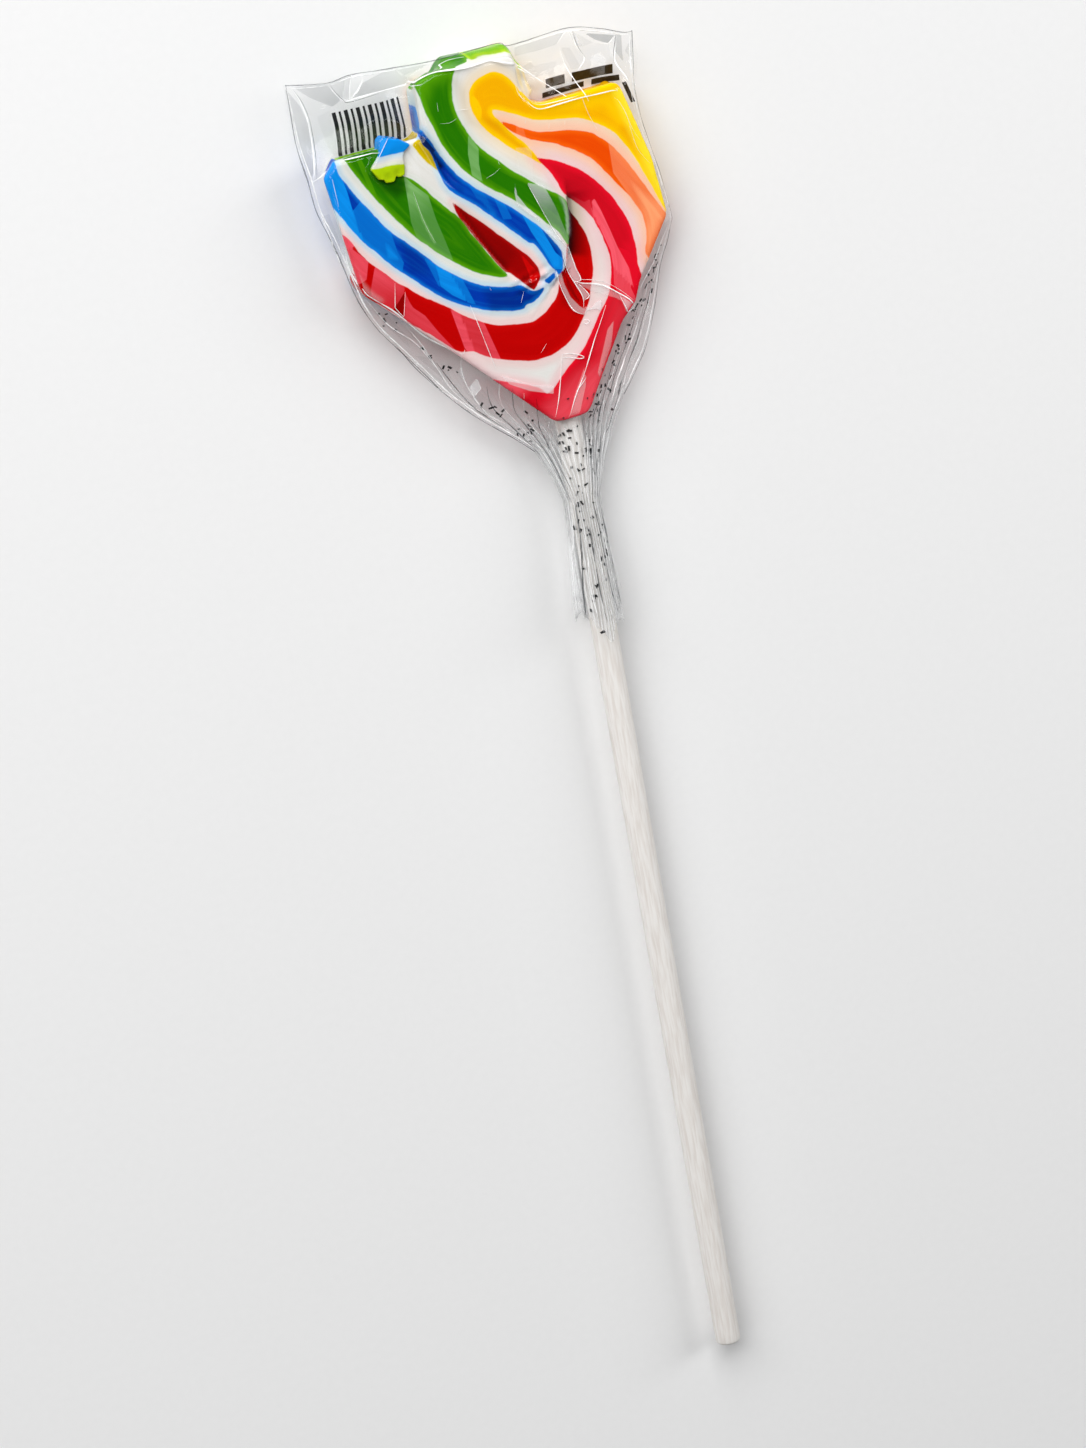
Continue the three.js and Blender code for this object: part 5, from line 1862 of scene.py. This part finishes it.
@dataclass(frozen=True)
class ClearFilm:
    """Clear polypropylene film, cast and slit: glassy, with painted shade greying it and painted glare
    whitening it on its facets and gathers.
    """

    reflectance: float = 0.018  # seen straight on, of the film's two faces together
    at_the_edge: float = 0.2  # seen edge on
    roughness: float = 0.09
    clear: str = "#ffffff"
    # the grey of the painted shade, and the white of the painted glare
    shade: str = "#a4a8aa"
    painted_glare_white: str = "#f6f7f8"

    def material(self) -> bpy.types.Material:
        """Builds the film from a clear share tinted by painted shade, a mirror share, and a milky share of
        painted glare.

        Returns:
            The finished material.
        """
        material, tree = new_material("clear_polypropylene_film")
        greyed = {SHARE: toned(tree, "shade"), FIRST: linear(self.clear), SECOND: linear(self.shade)}
        tint = add_node(tree, "ShaderNodeMix", COLOURS, greyed).outputs[MIXED]
        clear = add_node(tree, "ShaderNodeBsdfTransparent", inputs={"Color": tint})
        shine = add_node(
            tree,
            "ShaderNodeBsdfAnisotropic",
            inputs={"Color": linear("#ffffff"), "Roughness": self.roughness},
        )
        # Schlick's formula, which is the same for light from either side of a thin film.
        facing = add_node(tree, "ShaderNodeLayerWeight", inputs={"Blend": 0.5}).outputs["Facing"]
        glancing = add_node(tree, "ShaderNodeMath", {"operation": "POWER"}, {0: facing, 1: 5.0}).outputs[0]
        share = add_node(
            tree,
            "ShaderNodeMapRange",
            SMOOTH,
            {VALUE: glancing, LOW: 0.0, HIGH: 1.0, AT_LOW: self.reflectance, AT_HIGH: self.at_the_edge},
        ).outputs[0]
        film = add_node(
            tree, "ShaderNodeMixShader", inputs={0: share, 1: clear.outputs[0], 2: shine.outputs[0]}
        )
        painted_glare_white = add_node(tree, "ShaderNodeBsdfDiffuse", inputs={"Color": linear(self.painted_glare_white)})
        with_painted_glare = add_node(
            tree,
            "ShaderNodeMixShader",
            inputs={0: toned(tree, "painted_film_glare"), 1: film.outputs[0], 2: painted_glare_white.outputs[0]},
        )
        add_node(tree, "ShaderNodeOutputMaterial", inputs={"Surface": with_painted_glare.outputs[0]})
        return material


@dataclass(frozen=True)
class PaintedFoldHighlight:
    """Painted highlights on the film's folds: the same film, laid over with white where a fold would catch
    the light.
    """

    highlight_whiteness: float = 0.95
    patch_size: float = 2.0  # mm across a whiter patch
    roughness: float = 0.15
    ior: float = 1.49

    def material(self) -> bpy.types.Material:
        """Builds the film with its painted highlights.

        Returns:
            The finished material.
        """
        material, tree = new_material("painted_fold_highlight")
        clear = add_node(tree, "ShaderNodeBsdfTransparent", inputs={"Color": linear("#ffffff")})
        spot = add_node(tree, "ShaderNodeTexCoord").outputs["Object"]
        patchy = add_node(
            tree,
            "ShaderNodeTexNoise",
            inputs={"Vector": spot, "Scale": 1 / (self.patch_size * MM), "Detail": 2.0},
        ).outputs["Fac"]
        white = add_node(
            tree,
            "ShaderNodeBsdfPrincipled",
            inputs={"Base Color": linear("#ffffff"), "Roughness": self.roughness, "IOR": self.ior},
        )
        share = add_node(
            tree,
            "ShaderNodeMapRange",
            SMOOTH,
            {VALUE: patchy, LOW: 0.25, HIGH: 0.5, AT_LOW: self.highlight_whiteness * 0.5, AT_HIGH: self.highlight_whiteness},
        ).outputs[0]
        both = add_node(
            tree, "ShaderNodeMixShader", inputs={0: share, 1: clear.outputs[0], 2: white.outputs[0]}
        )
        add_node(tree, "ShaderNodeOutputMaterial", inputs={"Surface": both.outputs[0]})
        return material


@dataclass(frozen=True)
class PaintedEdgeShade:
    """Painted shade on the film: a grey see-through tint along its cut edges and in its folds, where they
    look dark.
    """

    grey: str = "#a6a8aa"
    reflectance: float = 0.02
    roughness: float = 0.2

    def material(self) -> bpy.types.Material:
        """Builds the grey edge.

        Returns:
            The finished material.
        """
        material, tree = new_material("painted_film_edge_shade")
        clear = add_node(tree, "ShaderNodeBsdfTransparent", inputs={"Color": linear(self.grey)})
        shine = add_node(
            tree,
            "ShaderNodeBsdfAnisotropic",
            inputs={"Color": linear("#ffffff"), "Roughness": self.roughness},
        )
        both = add_node(
            tree,
            "ShaderNodeMixShader",
            inputs={0: self.reflectance, 1: clear.outputs[0], 2: shine.outputs[0]},
        )
        add_node(tree, "ShaderNodeOutputMaterial", inputs={"Surface": both.outputs[0]})
        return material


# ---------------------------------------------------------------- print on the film


@dataclass(frozen=True)
class Mark:
    """One plain printed bar: where it starts and ends, and how wide it is."""

    start: tuple[float, float]
    end: tuple[float, float]
    width: float


@dataclass(frozen=True)
class Cluster:
    """A scatter of fine print, crushed where the film is gathered."""

    middle: tuple[float, float]
    spread: tuple[float, float]  # along the gathers and across them
    turn: float  # degrees that the gathers lean from across
    marks: int
    coarse: float = 0.3  # mm wide


@dataclass
class Print:
    """Plain black marks: bars and broad bands on the back layer, fine marks in the gathers, no lettering."""

    bag: FilmBag
    bar_count: int = 12
    bars_across: tuple[float, float] = (-22.0, -11.9)  # feet of the first and the last bar
    bar_widths: tuple[float, ...] = (0.6, 0.34)  # taken in turn, so that the row encodes nothing
    bars_lean: float = 0.15
    bars_foot: float = 46.0
    bars_head: tuple[float, float] = (54.3, 53.4)  # of the first and the last bar
    bands: tuple[Mark, ...] = (
        Mark((10.4, 48.5), (13.5, 48.3), 1.5),
        Mark((14.6, 48.2), (20.9, 47.6), 1.5),
        Mark((9.8, 46.7), (16.4, 46.5), 0.9),
        Mark((17.6, 46.4), (21.6, 46.0), 0.9),
        Mark((22.0, 45.2), (22.5, 42.0), 0.5),
    )
    clusters: tuple[Cluster, ...] = (
        Cluster((19.4, 18.9), (1.7, 0.5), 50, 9),
        Cluster((17.2, 15.2), (1.6, 0.6), 55, 9),
        Cluster((13.4, 12.0), (1.3, 0.7), 50, 8),
        Cluster((10.2, 7.6), (1.6, 0.8), 52, 10),
        Cluster((6.4, 2.6), (2.2, 1.2), 56, 16),
        Cluster((3.6, -1.0), (2.0, 1.2), 64, 14),
        Cluster((-22.6, 22.4), (1.5, 0.4), 120, 6),
        Cluster((-17.0, 14.4), (1.8, 0.5), 122, 7),
        Cluster((-11.4, 5.0), (1.8, 0.8), 128, 8),
        Cluster((-6.4, -0.6), (2.2, 1.3), 118, 14),
        Cluster((-1.4, -4.4), (2.6, 1.4), 100, 18),
        Cluster((1.4, -8.0), (2.6, 1.2), 80, 18, 0.36),
        Cluster((-1.2, -17.4), (3.2, 1.1), 88, 14, 0.34),
        Cluster((1.8, -21.0), (2.8, 0.9), 86, 12, 0.34),
        Cluster((-1.6, -27.0), (2.6, 1.4), 94, 12, 0.32),
    )
    seed: int = 7
    inset: float = 0.5  # how far inside the bag's edge the fine print stays
    row_spacing: float = 0.3
    off_back: float = 0.06  # how far the print lies above each layer
    off_front: float = 0.04

    def bars(self) -> list[Mark]:
        """A plain row of upright bars, evenly spaced, wide and narrow in turn.

        Returns:
            The bars, from left to right.
        """
        feet = np.linspace(*self.bars_across, self.bar_count)
        heads = np.linspace(*self.bars_head, self.bar_count)
        return [
            Mark((foot, self.bars_foot),
                (foot + self.bars_lean, head), self.bar_widths[i % len(self.bar_widths)])
            for i, (foot, head) in enumerate(zip(feet.tolist(), heads.tolist()))
        ]

    def fine_print(self) -> list[Mark]:
        """Tiny crushed marks, scattered through the clusters.

        Returns:
            The marks.
        """
        draw = random.Random(self.seed)
        marks = []
        for cluster in self.clusters:
            lean = math.radians(cluster.turn)
            along = np.array([math.cos(lean), math.sin(lean)])
            beside = np.array([-along[1], along[0]])
            for _ in range(cluster.marks):
                spot = (
                    np.array(cluster.middle)
                    + along * draw.gauss(0, cluster.spread[0])
                    + beside * draw.gauss(0, cluster.spread[1])
                )
                left, right = (float(side[0]) for side in self.bag.edges(np.array([spot[1]])))
                if not left + self.inset < spot[0] < right - self.inset:
                    continue
                turn = lean + draw.uniform(-0.5, 0.5) + (math.pi / 2 if draw.random() < 0.3 else 0)
                reach = np.array([math.cos(turn), math.sin(turn)]) * draw.uniform(0.12, 0.42)
                width = cluster.coarse * draw.uniform(0.6, 1.2)
                marks.append(Mark(tuple(spot - reach), tuple(spot + reach), width))
        return marks

    def strip(self, mark: Mark, face: Face) -> bpy.types.Object:
        """One mark as a narrow strip that follows the film.

        Args:
            mark: The mark.
            face: Which layer of film it is printed on.

        Returns:
            The strip.
        """
        start, end = np.array(mark.start), np.array(mark.end)
        length = float(np.linalg.norm(end - start))
        rows = max(2, round(length / self.row_spacing))
        along = (end - start) / length
        beside = np.array([-along[1], along[0]]) * mark.width / 2
        piece = new_grid("mark", 3, rows)
        share = np.linspace(0, 1, rows)[:, None]
        middle = start + (end - start) * share
        spots = np.stack([middle - beside, middle, middle + beside], 1).reshape(-1, 2)
        lift = self.off_front if face is Face.FRONT else self.off_back
        height = self.bag.height(spots[:, 0], spots[:, 1], face) + lift
        move_to(piece, self.bag.placement.place(np.column_stack([spots, height])))
        return piece

    def build(self, name: str, marks: Sequence[Mark], face: Face) -> bpy.types.Object:
        """A group of marks as one piece."""
        return join_pieces([self.strip(mark, face) for mark in marks], name)


@dataclass(frozen=True)
class PrintInk:
    """Black flexo ink on film: matt and nearly opaque, a little thin here and there."""

    black: str = "#0e0e10"
    thin_black: str = "#2c2c30"
    patch_size: float = 0.4  # mm across a thin patch
    roughness: float = 0.45
    ior: float = 1.5

    def material(self) -> bpy.types.Material:
        """Builds the ink.

        Returns:
            The finished material.
        """
        material, tree = new_material("black_printing_ink")
        spot = add_node(tree, "ShaderNodeTexCoord").outputs["Object"]
        patchy = add_node(
            tree,
            "ShaderNodeTexNoise",
            inputs={"Vector": spot, "Scale": 1 / (self.patch_size * MM), "Detail": 3.0},
        ).outputs["Fac"]
        thin = add_node(tree, "ShaderNodeMapRange", SMOOTH, {VALUE: patchy, LOW: 0.5, HIGH: 0.8}).outputs[0]
        blacks = {SHARE: thin, FIRST: linear(self.black), SECOND: linear(self.thin_black)}
        colour = add_node(tree, "ShaderNodeMix", COLOURS, blacks).outputs[MIXED]
        ink = add_node(
            tree,
            "ShaderNodeBsdfPrincipled",
            inputs={"Base Color": colour, "Roughness": self.roughness, "IOR": self.ior},
        )
        add_node(tree, "ShaderNodeOutputMaterial", inputs={"Surface": ink.outputs[0]})
        return material


# ---------------------------------------------------------------- stick


@dataclass
class PaperStick:
    """A stick of tightly rolled white paper, its end slightly rounded."""

    sides: int = 96
    rounding: float = 0.45
    ring: float = 2.0  # mm from the end to the ring that keeps its rounding short
    sharp_below: float = 35  # degrees

    def build(self) -> bpy.types.Object:
        """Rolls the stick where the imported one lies.

        Returns:
            The stick.
        """
        low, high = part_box("stick")
        radius, length = (high.x - low.x) / 2, high.y - low.y
        deselect_all()
        bpy.ops.mesh.primitive_cylinder_add(
            vertices=self.sides,
            radius=radius,
            depth=length,
            end_fill_type="NGON",
            location=(low + high) / 2,
            rotation=(math.pi / 2, 0, 0),
        )
        piece = bpy.context.object
        piece.name = piece.data.name = "paper_stick"
        bpy.ops.object.transform_apply(location=True, rotation=True, scale=True)
        bpy.ops.object.mode_set(mode="EDIT")
        bpy.ops.mesh.select_all(action="SELECT")
        bpy.ops.mesh.bisect(plane_co=(0, low.y + self.ring * MM, 0), plane_no=(0, 1, 0))
        bpy.ops.object.mode_set(mode="OBJECT")
        apply_modifier(piece, "BEVEL", width=self.rounding * MM, segments=5, limit_method="ANGLE")
        smooth_shaded(piece, self.sharp_below)
        return piece


@dataclass(frozen=True)
class RolledPaper:
    """White kraft paper, tightly rolled and lightly waxed: matt, with a faint lengthwise fibre."""

    white: str = "#ebe8e4"
    shade: str = "#ddd7d1"
    roughness: float = 0.5
    fibre: float = 0.35  # mm across a fibre
    stretch: float = 0.07  # share of its pattern's scale along the stick
    bump_depth: float = 0.04  # mm
    ior: float = 1.48

    def material(self) -> bpy.types.Material:
        """Builds the paper.

        Returns:
            The finished material.
        """
        material, tree = new_material("rolled_white_paper")
        spot = add_node(tree, "ShaderNodeTexCoord").outputs["Object"]
        drawn = add_node(
            tree, "ShaderNodeMapping", inputs={"Vector": spot, "Scale": (1.0, self.stretch, 1.0)}
        ).outputs[0]
        fibres = add_node(
            tree,
            "ShaderNodeTexNoise",
            inputs={"Vector": drawn, "Scale": 1 / (self.fibre * MM), "Detail": 5.0},
        ).outputs["Fac"]
        shaded = add_node(
            tree, "ShaderNodeMapRange", SMOOTH, {VALUE: fibres, LOW: 0.35, HIGH: 0.7}
        ).outputs[0]
        whites = {SHARE: shaded, FIRST: linear(self.white), SECOND: linear(self.shade)}
        colour = add_node(tree, "ShaderNodeMix", COLOURS, whites).outputs[MIXED]
        bump = add_node(
            tree,
            "ShaderNodeBump",
            inputs={"Strength": 0.35, "Distance": self.bump_depth * MM, "Height": fibres},
        ).outputs[0]
        paper = add_node(
            tree,
            "ShaderNodeBsdfPrincipled",
            inputs={"Base Color": colour, "Roughness": self.roughness, "IOR": self.ior, "Normal": bump},
        )
        add_node(tree, "ShaderNodeOutputMaterial", inputs={"Surface": paper.outputs[0]})
        return material


# ---------------------------------------------------------------- studio


@dataclass(frozen=True)
class Softbox:
    """One soft light, aimed at the candy."""

    name: str
    direction: tuple[float, float, float]  # from the candy to the light
    away: float  # how far off it stands, in metres
    size: tuple[float, float]  # in metres
    power: float  # in watts


@dataclass
class Studio:
    """A plain pale floor, soft lights, and a camera at the photograph's viewing angle."""

    placement: Placement
    camera_from_tip: tuple[float, float, float] = (-164.34, 159.38, 642.89)  # mm
    looks_at: tuple[float, float, float] = (-12.13, -46.63, 3.7)
    roll: float = math.radians(10.204)
    view_angle: float = math.radians(18.3)  # top to bottom
    floor_size: float = 6.0  # m
    floor_greys: tuple[str, str] = ("#ebebeb", "#eeeeee")
    softboxes: tuple[Softbox, ...] = (
        Softbox("key_softbox", (-0.35, 0.75, 0.7), 1.2, (1.3, 1.0), 20.5),
        Softbox("right_softbox", (0.9, 0.25, 0.6), 1.1, (0.35, 0.7), 5.0),
        Softbox("left_softbox", (-0.9, -0.1, 0.8), 1.3, (0.5, 0.7), 2.0),
    )
    all_round: float = 0.05  # strength of the faint light from all sides

    def floor(self) -> bpy.types.Object:
        """A wide floor with a faint, even paper tooth.

        Returns:
            The floor.
        """
        deselect_all()
        bpy.ops.mesh.primitive_grid_add(x_subdivisions=8, y_subdivisions=8, size=self.floor_size)
        piece = bpy.context.object
        piece.name = "floor"
        material, tree = new_material("white_paper_sweep")
        spot = add_node(tree, "ShaderNodeTexCoord").outputs["Object"]
        tooth = add_node(
            tree, "ShaderNodeTexNoise", inputs={"Vector": spot, "Scale": 0.8 / MM, "Detail": 2.0}
        ).outputs["Fac"]
        greys = {SHARE: tooth, FIRST: linear(self.floor_greys[0]), SECOND: linear(self.floor_greys[1])}
        colour = add_node(tree, "ShaderNodeMix", COLOURS, greys).outputs[MIXED]
        paper = add_node(
            tree, "ShaderNodeBsdfPrincipled", inputs={"Base Color": colour, "Roughness": 0.9, "IOR": 1.3}
        )
        add_node(tree, "ShaderNodeOutputMaterial", inputs={"Surface": paper.outputs[0]})
        piece.data.materials.append(material)
        return piece

    def light(self, softbox: Softbox) -> None:
        """Sets up one soft light.

        Args:
            softbox: The light.
        """
        aim = self.placement.tip + Vector((0, 0.01, 0))
        toward = Vector(softbox.direction).normalized()
        deselect_all()
        bpy.ops.object.light_add(type="AREA", location=aim + toward * softbox.away)
        light = bpy.context.object
        light.name = softbox.name
        light.rotation_euler = toward.to_track_quat("Z", "Y").to_euler()
        light.data.shape = "RECTANGLE"
        light.data.size, light.data.size_y = softbox.size
        light.data.energy = softbox.power

    def lights(self) -> None:
        """Softboxes round the candy, clear of its mirror direction, and a faint all-round light."""
        for softbox in self.softboxes:
            self.light(softbox)
        world = bpy.data.worlds.new("studio")
        world.use_nodes = True
        sky = world.node_tree.nodes["Background"]
        sky.inputs["Color"].default_value = linear("#ffffff")
        sky.inputs["Strength"].default_value = self.all_round
        bpy.context.scene.world = world

    def camera(self) -> None:
        """The camera, where the photograph was taken from, turned as it was held."""
        tip = self.placement.tip
        position = tip + Vector(self.camera_from_tip) * MM
        target = tip + Vector(self.looks_at) * MM
        ahead = (target - position).normalized()
        upright = (Vector((0, 1, 0)) - ahead * ahead.y).normalized()
        side = ahead.cross(upright)
        up = upright * math.cos(self.roll) + side * math.sin(self.roll)
        right = ahead.cross(up)
        turn = Matrix((right, up, -ahead)).transposed()
        bpy.ops.object.camera_add(location=position, rotation=turn.to_euler())
        camera = bpy.context.object
        camera.name = "camera"
        camera.data.sensor_fit = "VERTICAL"
        camera.data.angle = self.view_angle
        camera.data.clip_start, camera.data.clip_end = 0.05, 20
        bpy.context.scene.camera = camera

    def build(self) -> None:
        """Sets up the floor, the lights, the camera and the way colours are shown."""
        self.floor()
        self.lights()
        self.camera()
        scene = bpy.context.scene
        scene.view_settings.view_transform = "Standard"
        scene.view_settings.look = "None"
        scene.cycles.transparent_max_bounces = 32  # the gathered film lies in many layers


# ---------------------------------------------------------------- the whole lollipop


def dress(
    piece: bpy.types.Object, material: bpy.types.Material, stands_for: str | None = None
) -> None:
    """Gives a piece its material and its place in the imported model.

    Args:
        piece: The finished piece.
        material: What it is made of.
        stands_for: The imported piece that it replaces, if any.
    """
    piece.data.materials.clear()
    piece.data.materials.append(material)
    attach(piece, "root")
    if stands_for:
        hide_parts(stands_for)
    log.info("%s: %d vertices", piece.name, len(piece.data.vertices))


def main() -> None:
    """Builds the lollipop piece by piece, then its studio."""
    logging.basicConfig(level=logging.INFO, format="%(name)s: %(message)s")
    placement = Placement()
    sugar = BoiledSugar().material()
    film = ClearFilm().material()
    ink = PrintInk().material()

    candy = CandyHead(placement)
    dress(candy.build(), sugar, "wrapped_candy")
    scrap = RopeScrap(placement)
    dress(scrap.build(), sugar, "wrapped_candy")

    bag = FilmBag(placement, candy, scrap)
    for face in Face:
        dress(bag.build(face), film, "wrapped_candy")
    folds = FilmFolds(bag)
    dress(folds.build("film_fold_highlights", PAINTED_FOLD_HIGHLIGHTS), PaintedFoldHighlight().material(), "wrapped_candy")
    dress(folds.build("film_edge_shade", PAINTED_FOLD_SHADE), PaintedEdgeShade().material(), "wrapped_candy")

    printed = Print(bag)
    dress(printed.build("printed_bars", printed.bars(), Face.BACK), ink, "wrapped_candy")
    dress(printed.build("printed_bands", printed.bands, Face.BACK), ink, "wrapped_candy")
    dress(printed.build("fine_print", printed.fine_print(), Face.FRONT), ink, "wrapped_candy")

    dress(PaperStick().build(), RolledPaper().material(), "stick")
    Studio(placement).build()


if __name__ == "__main__":
    main()
